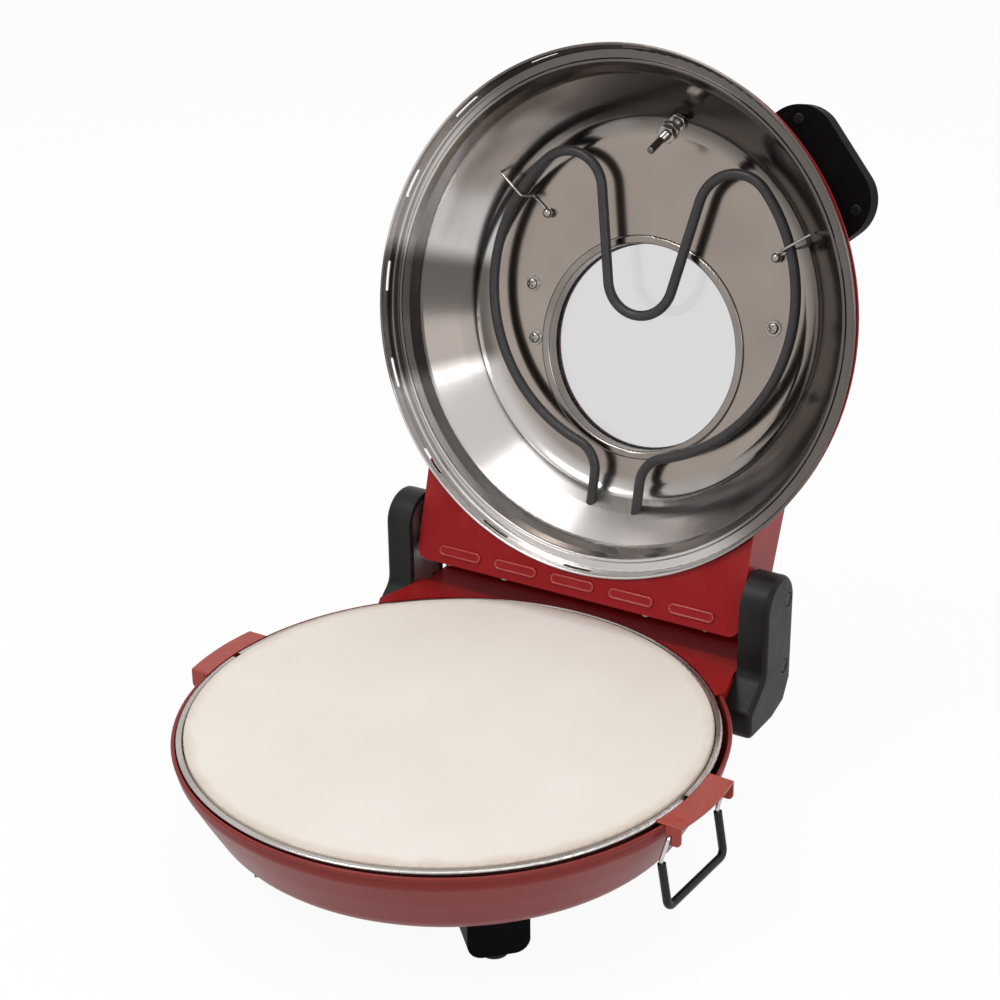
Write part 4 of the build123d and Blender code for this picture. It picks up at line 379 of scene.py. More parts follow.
class Effects:
    """Shader groups that several finishes share."""

    def __init__(self) -> None:
        """Build every group once."""
        self.clouding = self._clouding()
        self.grain = self._grain()
        self.turned = self._turned()
        self.rub = self._rub()

    def _clouding(self) -> bpy.types.NodeTree:
        """Slow variation between a low and a high value: smooth noise, remapped."""
        group, tree, source, sink = new_group(
            "clouding", {"Vector": ("NodeSocketVector", None), "Scale": ("NodeSocketFloat", 20.0),
                         "Detail": ("NodeSocketFloat", 3.0), "Low": ("NodeSocketFloat", 0.0),
                         "High": ("NodeSocketFloat", 1.0)}, {"Value": "NodeSocketFloat"})
        noise = tree.add("ShaderNodeTexNoise", {"Vector": source.outputs["Vector"],
                                                "Scale": source.outputs["Scale"],
                                                "Detail": source.outputs["Detail"], "Roughness": 0.55})
        spread = tree.add("ShaderNodeMapRange", {"Value": noise.outputs[0], "From Min": 0.3,
                                                 "From Max": 0.7, "To Min": source.outputs["Low"],
                                                 "To Max": source.outputs["High"]})
        group.links.new(spread.outputs[0], sink.inputs["Value"])
        return group

    def _grain(self) -> bpy.types.NodeTree:
        """Fine pebbled height of moulded or sprayed surfaces: cell distance plus noise."""
        group, tree, source, sink = new_group(
            "grain", {"Vector": ("NodeSocketVector", None), "Scale": ("NodeSocketFloat", 900.0),
                      "Mix": ("NodeSocketFloat", 0.5)}, {"Height": "NodeSocketFloat"})
        cells = tree.add("ShaderNodeTexVoronoi", {"Vector": source.outputs["Vector"],
                                                  "Scale": source.outputs["Scale"]})
        noise = tree.add("ShaderNodeTexNoise", {"Vector": source.outputs["Vector"],
                                                "Scale": source.outputs["Scale"], "Detail": 2.0})
        both = tree.add("ShaderNodeMix", {0: source.outputs["Mix"], 2: cells.outputs["Distance"],
                                          3: noise.outputs[0]}, data_type="FLOAT")
        group.links.new(both.outputs[0], sink.inputs["Height"])
        return group

    def _turned(self) -> bpy.types.NodeTree:
        """Circular polishing lines about the vector's Z axis.

        The noise is read at (radius and height times Fine, a little of the angle), so it is
        drawn out along the circles; Tone is a slower variation of the same kind.
        """
        group, tree, source, sink = new_group(
            "turned", {"Vector": ("NodeSocketVector", None), "Fine": ("NodeSocketFloat", 900.0),
                       "Tone Scale": ("NodeSocketFloat", 60.0)},
            {"Height": "NodeSocketFloat", "Tone": "NodeSocketFloat"})
        parts = tree.add("ShaderNodeSeparateXYZ", {0: source.outputs["Vector"]})
        flat = tree.add("ShaderNodeCombineXYZ", {0: parts.outputs[0], 1: parts.outputs[1]})
        radius = tree.add("ShaderNodeVectorMath", {0: flat.outputs[0]}, operation="LENGTH")
        unit = tree.add("ShaderNodeVectorMath", {0: flat.outputs[0]}, operation="NORMALIZE")
        bend = tree.add("ShaderNodeVectorMath", {0: unit.outputs[0], "Scale": 0.004}, operation="SCALE")
        spun = tree.add("ShaderNodeSeparateXYZ", {0: bend.outputs[0]})
        place = tree.add("ShaderNodeMath", {0: radius.outputs["Value"], 1: parts.outputs[2]}, operation="ADD")
        vector = tree.add("ShaderNodeCombineXYZ", {0: place.outputs[0], 1: spun.outputs[0],
                                                   2: spun.outputs[1]})
        lines = tree.add("ShaderNodeTexNoise", {"Vector": vector.outputs[0],
                                                "Scale": source.outputs["Fine"], "Detail": 4.0,
                                                "Roughness": 0.7})
        tone = tree.add("ShaderNodeTexNoise", {"Vector": vector.outputs[0],
                                               "Scale": source.outputs["Tone Scale"], "Detail": 3.0})
        group.links.new(lines.outputs[0], sink.inputs["Height"])
        group.links.new(tone.outputs[0], sink.inputs["Tone"])
        return group

    def _rub(self) -> bpy.types.NodeTree:
        """Mask of rubbed edges: convex pointiness broken up by noise."""
        group, tree, source, sink = new_group(
            "rub", {"Vector": ("NodeSocketVector", None), "Scale": ("NodeSocketFloat", 60.0),
                    "Start": ("NodeSocketFloat", 0.53), "Amount": ("NodeSocketFloat", 0.5)},
            {"Mask": "NodeSocketFloat"})
        shape = tree.add("ShaderNodeNewGeometry")
        stop = tree.add("ShaderNodeMath", {0: source.outputs["Start"], 1: 0.06}, operation="ADD")
        edge = tree.add("ShaderNodeMapRange", {"Value": shape.outputs["Pointiness"],
                                               "From Min": source.outputs["Start"],
                                               "From Max": stop.outputs[0]})
        noise = tree.add("ShaderNodeTexNoise", {"Vector": source.outputs["Vector"],
                                                "Scale": source.outputs["Scale"], "Detail": 5.0})
        broken = tree.add("ShaderNodeMath", {0: edge.outputs[0], 1: noise.outputs[0]},
                          operation="MULTIPLY")
        mask = tree.add("ShaderNodeMath", {0: broken.outputs[0], 1: source.outputs["Amount"]},
                        operation="MULTIPLY", use_clamp=True)
        group.links.new(mask.outputs[0], sink.inputs["Mask"])
        return group


def mixed(tree: NodeTree, share: bpy.types.NodeSocket, first: object, second: object
          ) -> bpy.types.NodeSocket:
    """Colour mix of two colours or sockets by a share."""
    ends = [end if isinstance(end, bpy.types.NodeSocket) else (*end, 1) for end in (first, second)]
    return tree.add("ShaderNodeMix", {0: share, 6: ends[0], 7: ends[1]}, data_type="RGBA").outputs[2]


def shut_place(tree: NodeTree, place: bpy.types.NodeSocket) -> bpy.types.NodeSocket:
    """Object coordinates turned back to the shut lid, where its axis is upright."""
    back = np.linalg.inv(opening_matrix())
    mapping = tree.add("ShaderNodeMapping", {"Vector": place})
    mapping.inputs["Location"].default_value = back[:3, 3]
    mapping.inputs["Rotation"].default_value = (OPEN_TURN, 0, 0)
    return mapping.outputs[0]


class Turning(Enum):
    """Where circular polishing is centred."""

    UPRIGHT = "upright"
    LID = "lid"


@dataclass(frozen=True)
class Finish:
    """One surface finish: a Principled shader with shared effects.

    Colours are linear. Where a tint is given, it is mixed in by the clouding. The bump depth is
    in metres.
    """

    name: str
    colour: Colour
    tint: Optional[Colour] = None
    cloud_scale: float = 30.0
    roughness: tuple[float, float] = (0.4, 0.5)
    metallic: float = 0.0
    specular: float = 0.5
    coat: float = 0.0
    coat_roughness: float = 0.1
    grain_scale: float = 0.0
    grain_depth: float = 0.0
    turned: Optional[Turning] = None
    turned_fine: float = 900.0
    turned_depth: float = 0.0
    rub_colour: Optional[Colour] = None
    rub_amount: float = 0.0

    def make(self, effects: Effects) -> bpy.types.Material:
        """Build the material.

        Args:
            effects: the shared shader groups.

        Returns:
            The material.
        """
        material = bpy.data.materials.new(self.name)
        material.use_nodes = True
        material.node_tree.nodes.clear()
        tree = NodeTree(material.node_tree)
        out = tree.add("ShaderNodeOutputMaterial")
        place = tree.add("ShaderNodeTexCoord").outputs["Object"]
        cloud = tree.add("ShaderNodeGroup", node_tree=effects.clouding)
        self._set(tree, cloud, {"Vector": place, "Scale": self.cloud_scale, "Low": 0.0, "High": 1.0})
        rough = tree.add("ShaderNodeMapRange", {"Value": cloud.outputs[0], "To Min": self.roughness[0],
                                                "To Max": self.roughness[1]})
        shader = tree.add("ShaderNodeBsdfPrincipled", {
            "Base Color": (*self.colour, 1), "Metallic": self.metallic,
            "Roughness": rough.outputs[0], "Specular IOR Level": self.specular,
            "Coat Weight": self.coat, "Coat Roughness": self.coat_roughness})
        colour = self._colour(tree, effects, place, cloud.outputs[0])
        if self.rub_colour:
            rub = tree.add("ShaderNodeGroup", node_tree=effects.rub)
            self._set(tree, rub, {"Vector": place, "Amount": self.rub_amount})
            base = colour if colour else (*self.colour, 1)
            colour = tree.add("ShaderNodeMix", {0: rub.outputs[0], 6: base, 7: (*self.rub_colour, 1)},
                              data_type="RGBA").outputs[2]
        if colour:
            tree.tree.links.new(colour, shader.inputs["Base Color"])
        normal = None
        if self.grain_depth:
            grain = tree.add("ShaderNodeGroup", node_tree=effects.grain)
            self._set(tree, grain, {"Vector": place, "Scale": self.grain_scale})
            normal = tree.add("ShaderNodeBump", {"Height": grain.outputs[0], "Strength": 1.0,
                                                 "Distance": self.grain_depth}).outputs[0]
        if self.turned:
            normal = self._turned_normal(tree, effects, place, normal)
        if normal:
            tree.tree.links.new(normal, shader.inputs["Normal"])
        tree.tree.links.new(shader.outputs[0], out.inputs[0])
        return material

    def _colour(self, tree: NodeTree, effects: Effects, place: bpy.types.NodeSocket,
                cloud: bpy.types.NodeSocket) -> Optional[bpy.types.NodeSocket]:
        """Mix the colour and its tint by the clouding."""
        if not self.tint:
            return None
        return mixed(tree, cloud, self.colour, self.tint)

    def _turned_normal(self, tree: NodeTree, effects: Effects, place: bpy.types.NodeSocket,
                       normal: Optional[bpy.types.NodeSocket]) -> bpy.types.NodeSocket:
        """Add the circular polishing and return the bumped normal."""
        if self.turned is Turning.LID:
            place = shut_place(tree, place)
        lines = tree.add("ShaderNodeGroup", node_tree=effects.turned)
        self._set(tree, lines, {"Vector": place, "Fine": self.turned_fine})
        inputs = {"Height": lines.outputs["Height"], "Strength": 1.0, "Distance": self.turned_depth}
        if normal:
            inputs["Normal"] = normal
        return tree.add("ShaderNodeBump", inputs).outputs[0]

    @staticmethod
    def _set(tree: NodeTree, node: bpy.types.Node, inputs: dict) -> None:
        """Set or link a group node's sockets."""
        for key, value in inputs.items():
            if isinstance(value, bpy.types.NodeSocket):
                tree.tree.links.new(value, node.inputs[key])
            else:
                node.inputs[key].default_value = value


@dataclass(frozen=True)
class LinerFinish(Finish):
    """Polished liner steel with painted reflections: broad dark and bright streaks round the lid's axis, and a
    painted dark reflection where it faces one bearing.
    """

    # Painted reflection: the dark colour of the streaks and of the shaded side; the lean puts the bright streaks
    # towards one side of the lid.
    painted_reflection_dark: Colour = (0.13, 0.115, 0.105)
    # Darker, warmer colour inside the plateau's radius.
    plateau_colour: Colour = (0.36, 0.31, 0.27)
    painted_reflection_lean: tuple[float, float, float] = (-0.35, 0.30, 0.0)
    shaded: tuple[float, float, float] = (-0.988, 0.156, 0.0)

    def _colour(self, tree: NodeTree, effects: Effects, place: bpy.types.NodeSocket,
                cloud: bpy.types.NodeSocket) -> bpy.types.NodeSocket:
        """Painted reflection streaks by direction from the axis and height, a painted dark reflection where the
        liner faces one bearing, then a darker, warmer plateau.
        """
        shut = shut_place(tree, place)
        parts = tree.add("ShaderNodeSeparateXYZ", {0: shut})
        flat = tree.add("ShaderNodeCombineXYZ", {0: parts.outputs[0], 1: parts.outputs[1]})
        unit = tree.add("ShaderNodeVectorMath", {0: flat.outputs[0]}, operation="NORMALIZE")
        rise = tree.add("ShaderNodeMath", {0: parts.outputs[2], 1: 26.0}, operation="MULTIPLY")
        level = tree.add("ShaderNodeCombineXYZ", {2: rise.outputs[0]})
        spot = tree.add("ShaderNodeVectorMath", {0: unit.outputs[0], 1: level.outputs[0]}, operation="ADD")
        # Painted reflection streaks: noise read round the lid's axis and up its height.
        painted_reflection_streak = tree.add("ShaderNodeTexNoise", {"Vector": spot.outputs[0], "Scale": 1.5, "Detail": 2.0,
                                                 "Roughness": 0.45})
        painted_reflection_lean = tree.add("ShaderNodeVectorMath", {0: unit.outputs[0], 1: self.painted_reflection_lean},
                        operation="DOT_PRODUCT")
        total = tree.add("ShaderNodeMath", {0: painted_reflection_streak.outputs[0], 1: painted_reflection_lean.outputs["Value"]},
                         operation="ADD")
        share = tree.add("ShaderNodeMapRange", {"Value": total.outputs[0], "From Min": 0.28,
                                                "From Max": 0.78}, interpolation_type="SMOOTHSTEP")
        # Painted shade: the liner turns to the dark colour where it faces the shaded bearing.
        facing = tree.add("ShaderNodeVectorMath", {0: unit.outputs[0], 1: self.shaded},
                          operation="DOT_PRODUCT")
        shade = tree.add("ShaderNodeMapRange", {"Value": facing.outputs["Value"], "From Min": 0.945,
                                                "From Max": 0.978}, interpolation_type="SMOOTHSTEP")
        steel = mixed(tree, share.outputs[0], self.painted_reflection_dark, self.colour)
        steel = mixed(tree, shade.outputs[0], steel, self.painted_reflection_dark)
        radius = tree.add("ShaderNodeVectorMath", {0: flat.outputs[0]}, operation="LENGTH")
        inner = tree.add("ShaderNodeMapRange", {"Value": radius.outputs["Value"], "From Min": 0.120,
                                                "From Max": 0.108}, interpolation_type="SMOOTHSTEP")
        warm = mixed(tree, cloud, self.plateau_colour, self.tint)
        return mixed(tree, inner.outputs[0], steel, warm)


@dataclass(frozen=True)
class StoneFinish(Finish):
    """Cordierite: pale, faintly mottled, browned by use at its rim, with dark and light grains."""

    browned: Colour = (0.52, 0.40, 0.30)
    speck: Colour = (0.58, 0.47, 0.38)
    rim: float = 0.155

    def _colour(self, tree: NodeTree, effects: Effects, place: bpy.types.NodeSocket,
                cloud: bpy.types.NodeSocket) -> bpy.types.NodeSocket:
        """Mottling, then grains, then the rim's browning broken up by noise."""
        base = mixed(tree, cloud, self.colour, self.tint)
        cells = tree.add("ShaderNodeTexVoronoi", {"Vector": place, "Scale": 420.0})
        dot = tree.add("ShaderNodeMapRange", {"Value": cells.outputs["Distance"], "From Min": 0.16,
                                              "From Max": 0.08, "To Max": 0.35})
        base = mixed(tree, dot.outputs[0], base, self.speck)
        parts = tree.add("ShaderNodeSeparateXYZ", {0: place})
        flat = tree.add("ShaderNodeCombineXYZ", {0: parts.outputs[0], 1: parts.outputs[1]})
        radius = tree.add("ShaderNodeVectorMath", {0: flat.outputs[0]}, operation="LENGTH")
        noise = tree.add("ShaderNodeTexNoise", {"Vector": place, "Scale": 45.0, "Detail": 5.0})
        spread = tree.add("ShaderNodeMath", {0: noise.outputs[0], 1: 0.010}, operation="MULTIPLY")
        reach = tree.add("ShaderNodeMath", {0: radius.outputs["Value"], 1: spread.outputs[0]},
                         operation="ADD")
        edge = tree.add("ShaderNodeMapRange", {"Value": reach.outputs[0], "From Min": self.rim - 0.002,
                                               "From Max": self.rim + 0.006, "To Max": 0.6})
        return mixed(tree, edge.outputs[0], base, self.browned)


@dataclass(frozen=True)
class GlassFinish:
    """Clear tempered glass with a breath of haze."""

    name: str = "window_clear"
    colour: Colour = (0.70, 0.693, 0.703)

    def make(self, effects: Effects) -> bpy.types.Material:
        """Build the material.

        Args:
            effects: the shared shader groups.

        Returns:
            The material.
        """
        material = bpy.data.materials.new(self.name)
        material.use_nodes = True
        material.node_tree.nodes.clear()
        tree = NodeTree(material.node_tree)
        out = tree.add("ShaderNodeOutputMaterial")
        place = tree.add("ShaderNodeTexCoord").outputs["Object"]
        cloud = tree.add("ShaderNodeGroup", {"Vector": place, "Scale": 30.0, "Low": 0.01, "High": 0.05},
                         node_tree=effects.clouding)
        shader = tree.add("ShaderNodeBsdfPrincipled", {
            "Base Color": (*self.colour, 1), "Roughness": cloud.outputs[0],
            "Transmission Weight": 1.0, "IOR": 1.45})
        tree.tree.links.new(shader.outputs[0], out.inputs[0])
        return material


class Finishes:
    """Every material of the object, made once and found by its name."""

    def __init__(self, effects: Effects) -> None:
        """Make the materials.

        Args:
            effects: the shared shader groups.
        """
        self.effects = effects
        recipes = (
            Finish("pan_red", (0.215, 0.026, 0.022), (0.195, 0.023, 0.020), 12.0, (0.34, 0.40),
                   specular=0.15, coat=0.06, coat_roughness=0.2, grain_scale=1400, grain_depth=0.00001,
                   rub_colour=(0.4, 0.12, 0.1), rub_amount=0.4),
            # Painted light: the straps take a brighter copy of the pan's red, standing for the light on their
            # upward faces.
            Finish("strap_red_painted_light", (0.31, 0.030, 0.020), (0.24, 0.021, 0.015), 60.0, (0.26, 0.36),
                   specular=0.25, coat=0.1, coat_roughness=0.2, grain_scale=90, grain_depth=0.0004,
                   rub_colour=(0.5, 0.12, 0.08), rub_amount=0.4),
            Finish("lid_red", (0.27, 0.0075, 0.010), (0.235, 0.0065, 0.009), 12.0, (0.30, 0.38),
                   specular=0.12, coat=0.04, coat_roughness=0.15, grain_scale=1400, grain_depth=0.00001,
                   rub_colour=(0.5, 0.08, 0.06), rub_amount=0.3),
            # Glossier than the lid's paint, and a brighter copy of its red as painted highlight on the pressed
            # rims.
            Finish("louvre_red_painted_highlight", (0.36, 0.024, 0.024), (0.30, 0.018, 0.018), 60.0, (0.20, 0.28),
                   specular=0.45, coat=0.3, coat_roughness=0.14),
            Finish("deck_red", (0.24, 0.0045, 0.006), (0.20, 0.004, 0.005), 12.0, (0.40, 0.48),
                   specular=0.03, grain_scale=1400, grain_depth=0.00001,
                   rub_colour=(0.4, 0.06, 0.05), rub_amount=0.3),
            # The liner's colour is the bright side of its painted reflection streaks.
            LinerFinish("liner_steel", (0.55, 0.525, 0.51), (0.27, 0.23, 0.205), 8.0, (0.14, 0.22),
                        metallic=1.0, turned=Turning.LID, turned_depth=0.000012),
            Finish("collar_steel", (0.29, 0.26, 0.235), (0.21, 0.185, 0.165), 25.0, (0.14, 0.22),
                   metallic=1.0),
            Finish("tray_steel", (0.52, 0.50, 0.48), (0.38, 0.36, 0.34), 26.0, (0.20, 0.34),
                   metallic=1.0, turned=Turning.UPRIGHT, turned_depth=0.00001),
            StoneFinish("stone_face", (0.735, 0.675, 0.615), (0.785, 0.73, 0.675), 9.0, (0.75, 0.85),
                        specular=0.2, grain_scale=1100, grain_depth=0.00006),
            Finish("element_sheath", (0.040, 0.037, 0.038), (0.030, 0.028, 0.029), 160.0, (0.34, 0.46),
                   specular=0.3, grain_scale=2500, grain_depth=0.00001),
            Finish("arm_black", (0.0058, 0.0050, 0.0058), (0.0082, 0.0074, 0.0082), 60.0, (0.38, 0.46),
                   specular=0.18, grain_scale=2600, grain_depth=0.00003,
                   rub_colour=(0.03, 0.03, 0.03), rub_amount=0.5),
            Finish("handle_black", (0.004, 0.0036, 0.0044), (0.006, 0.0052, 0.006), 60.0, (0.42, 0.5),
                   specular=0.02, grain_scale=2600, grain_depth=0.00002),
            Finish("foot_rubber", (0.012, 0.012, 0.012), (0.018, 0.018, 0.018), 120.0, (0.6, 0.75),
                   specular=0.2, grain_scale=1800, grain_depth=0.00004),
            Finish("sleeve_black", (0.005, 0.005, 0.0055), (0.007, 0.007, 0.0075), 200.0, (0.30, 0.36),
                   specular=0.3),
            Finish("zinc_bright", (0.40, 0.375, 0.35), (0.27, 0.25, 0.235), 300.0, (0.16, 0.28),
                   metallic=1.0),
            Finish("probe_dark", (0.16, 0.15, 0.145), (0.11, 0.10, 0.10), 300.0, (0.22, 0.34),
                   metallic=1.0),
            Finish("screw_dark", (0.012, 0.011, 0.012), (0.018, 0.017, 0.018), 300.0, (0.34, 0.46),
                   metallic=0.3, specular=0.1),
            Finish("wire_chrome", (0.60, 0.60, 0.60), (0.50, 0.50, 0.50), 200.0, (0.08, 0.16),
                   metallic=1.0),
            Finish("plain_steel", (0.42, 0.42, 0.42), (0.34, 0.34, 0.34), 60.0, (0.30, 0.45),
                   metallic=1.0, grain_scale=1600, grain_depth=0.00001),
            Finish("gasket_black", (0.02, 0.02, 0.02), (0.03, 0.03, 0.03), 200.0, (0.6, 0.7)),
            Finish("ceramic_white", (0.75, 0.73, 0.68), (0.68, 0.66, 0.6), 200.0, (0.5, 0.6)),
            Finish("plug_grey", (0.016, 0.015, 0.016), (0.022, 0.021, 0.022), 200.0, (0.4, 0.5),
                   specular=0.25),
            Finish("mark_white", (0.62, 0.62, 0.60), (0.56, 0.56, 0.54), 300.0, (0.45, 0.55)),
        )
        self.by_name = {recipe.name: recipe.make(effects) for recipe in recipes}
        self.by_name["window_clear"] = GlassFinish().make(effects)

    def __getitem__(self, name: str) -> bpy.types.Material:
        """Return the material of that name."""
        return self.by_name[name]


# ------------------------------------------------------------------ dressing the CAD nodes
@dataclass
class Dressing:
    """Gives every CAD node its finish."""

    finishes: Finishes
    plan: dict[str, tuple[str, ...]] = field(default_factory=lambda: {
        "pan_red": ("base_pan",),
        "lid_red": ("lid_shell", "hinge_box", "hinge_box_cover"),
        "deck_red": ("rear_housing",),
        "strap_red_painted_light": ("side_strap_left", "side_strap_right"),
        "liner_steel": ("lid_liner",),
        "collar_steel": ("window_frame",),
        "tray_steel": ("stone_tray",),
        "stone_face": ("baking_stone",),
        "element_sheath": ("upper_element", "lower_element"),
        "arm_black": ("arm_left", "arm_right", "cord_gland"),
        "handle_black": ("lid_handle", "handle_cover", "thermostat_knob", "thermostat_body",
                         "foot_front_left", "foot_front_right", "foot_rear_left", "foot_rear_right"),
        "foot_rubber": ("foot_pads",),
        "sleeve_black": ("bail_sleeve_left", "bail_sleeve_right"),
        "wire_chrome": ("bail_wire_left", "bail_wire_right"),
        "zinc_bright": ("foot_screws", "standoff_screws", "housing_screws", "arm_screws", "arm_bolts",
                        "hinge_pins", "stop_pins", "hinge_bush_left", "hinge_bush_right",
                        "strap_rivets", "liner_screws", "clip_screws", "probe_nuts",
                        "thermostat_probe", "handle_screws", "handle_rivets", "cover_screws",
                        "element_clips"),
        "plain_steel": ("housing_cover", "arm_plate_left", "arm_plate_right", "hinge_plate_left",
                        "hinge_plate_right", "tray_standoffs", "lid_spacers", "lower_element_clips"),
        "gasket_black": ("window_gasket",),
        "ceramic_white": ("terminal_block", "element_terminals"),
        "plug_grey": ("arm_plugs",),
        "window_clear": ("window_glass",),
    })

    def apply(self, nodes: dict[str, bpy.types.Object]) -> None:
        """Assign the finishes.

        Args:
            nodes: CAD node name to its object.
        """
        for finish, names in self.plan.items():
            for name in names:
                slots = nodes[name].data.materials
                slots.clear()
                slots.append(self.finishes[finish])
        bare = set(nodes) - {n for names in self.plan.values() for n in names}
        LOG.info("nodes without a finish: %s", sorted(bare))


# ------------------------------------------------------------------ pieces
@dataclass
class SubAssembly:
    """Pieces that ride on one body; a subclass meshes them and dresses them."""

    finishes: Finishes

    def add(self, name: str, patch: Patch, finish: str, body: Body, slot: Slot,
            replaces: Iterable[str] = (), crease: float = 40.0) -> bpy.types.Object:
        """Make a piece, hang it on its body and hide the CAD nodes that it stands for.

        Args:
            name: piece name.
            patch: its surface, in metres, in the rest pose.
            finish: name of its finish.
            body: the body it rides on.
            slot: the record's material slot; not used.
            replaces: CAD nodes that it stands for.
            crease: angle in degrees above which an edge is sharp.

        Returns:
            The piece.
        """
        piece = build_object(name, patch, self.finishes[finish], crease)
        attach(piece, body.value)
        for node in replaces:
            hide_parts(node)
        return piece


def placed(patch: Patch, frames: Sequence[np.ndarray]) -> Patch:
    """Copies of a patch at several 4 by 4 frames, joined."""
    copies = [patch.moved(matrix) for matrix in frames]
    return copies[0].joined(*copies[1:])


@dataclass
class CrossScrews(SubAssembly):
    """Every screw whose head shows, with a cross recess and a cut thread."""

    head: float = 3.8 * MM
    height: float = 2.2 * MM
    shank: float = 2.0 * MM
    washer: float = 5.2 * MM
    washer_thickness: float = 0.8 * MM
    liner_places: tuple = ((-84.0, -4.0), (-78.0, 31.0), (89.5, -2.5), (93.6, 33.0))
    plateau: float = LIP_LEVEL + 59.0 * MM
    cover_places: tuple = (-94.0, -52.0, 52.0, 94.0)
    housing_places: tuple = (-90.0, 0.0, 90.0)

    def screw_patch(self, head: float, height: float, length: float, lift: float = 0.0) -> Patch:
        """One screw with its seat at z = lift and its shank down to z = lift - length."""
        top = cross_head(head, height, head * 0.62, head * 0.30, height * 0.55)
        rod = threaded_rod(self.shank, 0.22 * MM, 0.8 * MM, -length, 0.02 * MM)
        both = top.joined(rod)
        both.points[:, 2] += lift
        return both

    def washer_patch(self) -> Patch:
        """Flat washer with softened edges, its seat on z = 0."""
        soft, thick = 0.2 * MM, self.washer_thickness
        bore = self.shank + 0.2 * MM
        profile = np.array(((bore, 0), (self.washer - soft, 0), (self.washer, soft), (self.washer, thick - soft),
                            (self.washer - soft, thick), (bore + soft, thick), (bore, thick - soft), (bore, 0)))
        return lathe(profile, 64)

    def build(self) -> None:
        """Add the liner, handle, cover and housing screws."""
        down = np.array((0.0, 0.0, -1.0))
        turn = opening_matrix()

        def frames(spots: Iterable, axis: np.ndarray, opened: bool, twist: float) -> list[np.ndarray]:
            """Frames at spots, each turned a little further about its axis."""
            made = []
            for count, spot in enumerate(spots):
                angle = twist * (count + 1)
                across = np.array((math.cos(angle), math.sin(angle), 0.3))
                matrix = frame_matrix(np.array(spot), across, axis)
                made.append(turn @ matrix if opened else matrix)
            return made

        spots = [(x * MM, y * MM, self.plateau) for x, y in self.liner_places]
        liner = self.screw_patch(self.head, self.height, 4.8 * MM, self.washer_thickness)
        liner = placed(liner.joined(self.washer_patch()), frames(spots, down, True, 0.7))
        self.add("liner_cross_screws", liner, "zinc_bright", Body.LID, Slot.ZINC, ("liner_screws",))

        bearing = math.radians(48.0)
        spots = []
        for end in (-32.7, 32.7):
            x, y = end * MM, -160.8 * MM
            spots.append((x * math.cos(bearing) - y * math.sin(bearing),
                          x * math.sin(bearing) + y * math.cos(bearing), LIP_LEVEL + 35.0 * MM))
        handle = placed(self.screw_patch(self.head, 1.0 * MM, 5.3 * MM), frames(spots, down, True, 0.9))
        self.add("handle_cross_screws", handle, "screw_dark", Body.LID, Slot.ZINC, ("handle_screws",))

        back = np.array((0.0, 1.0, 0.0))
        spots = [(x * MM, 180.5 * MM, LIP_LEVEL + 5.7 * MM) for x in self.cover_places]
        cover = placed(self.screw_patch(3.0 * MM, self.height, 3.6 * MM), frames(spots, back, True, 0.6))
        self.add("cover_cross_screws", cover, "zinc_bright", Body.LID, Slot.ZINC, ("cover_screws",))

        spots = [(x * MM, 175.4 * MM, 52.8 * MM) for x in self.housing_places]
        under = placed(self.screw_patch(self.head, self.height, 4.8 * MM), frames(spots, down, False, 0.5))
        self.add("housing_cross_screws", under, "zinc_bright", Body.BASE, Slot.ZINC, ("housing_screws",))


@dataclass
class Probe(SubAssembly):
    """Threaded gland, round-ended probe rod and three chamfered nuts."""

    bearing: float = math.radians(5.5)
    tilt: float = math.radians(30.4)
    place: float = 122.5 * MM
    level: float = LIP_LEVEL + 54.0 * MM
    nut_seats: tuple = (1.9 * MM, 11.5 * MM, 16.1 * MM)

    def frame(self) -> np.ndarray:
        """Frame of the probe in the open pose, Z along it into the oven."""
        c, s = math.cos(self.bearing), math.sin(self.bearing)
        spin = np.array(((c, -s, 0), (s, c, 0), (0, 0, 1)))
        origin = spin @ (0, -self.place, self.level)
        inward = spin @ (0, math.sin(self.tilt), -math.cos(self.tilt))
        return opening_matrix() @ frame_matrix(origin, spin @ (1, 0, 0), inward)

    def build(self) -> None:
        """Add the probe and its nuts."""
        gland = threaded_rod(3.0 * MM, 0.35 * MM, 1.0 * MM, -4.0 * MM, 26.5 * MM, 40)
        tip = rounded(((2.4, 25.0), (2.4, 40.0), (0.0, 40.0)), (1.9,)) * MM
        rod = lathe(np.concatenate((((0.0, 0.025),), tip)), 40)
        self.add("probe_threaded", gland.moved(self.frame()), "zinc_bright", Body.LID, Slot.ZINC,
                 ("thermostat_probe",), 35.0)
        self.add("probe_rod", rod.moved(self.frame()), "probe_dark", Body.LID, Slot.ZINC)
        nut = chamfered_nut(11.0 * MM, 4.0 * MM, 3.0 * MM)
        twists = [self.frame() @ frame_matrix(np.array((0, 0, seat)), np.array((math.cos(a), math.sin(a), 0)),
                                              np.array((0, 0, 1.0)))
                  for seat, a in zip(self.nut_seats, (0.2, 0.75, 0.35))]
        self.add("probe_chamfered_nuts", placed(nut, twists), "zinc_bright", Body.LID, Slot.ZINC,
                 ("probe_nuts",), 25.0)


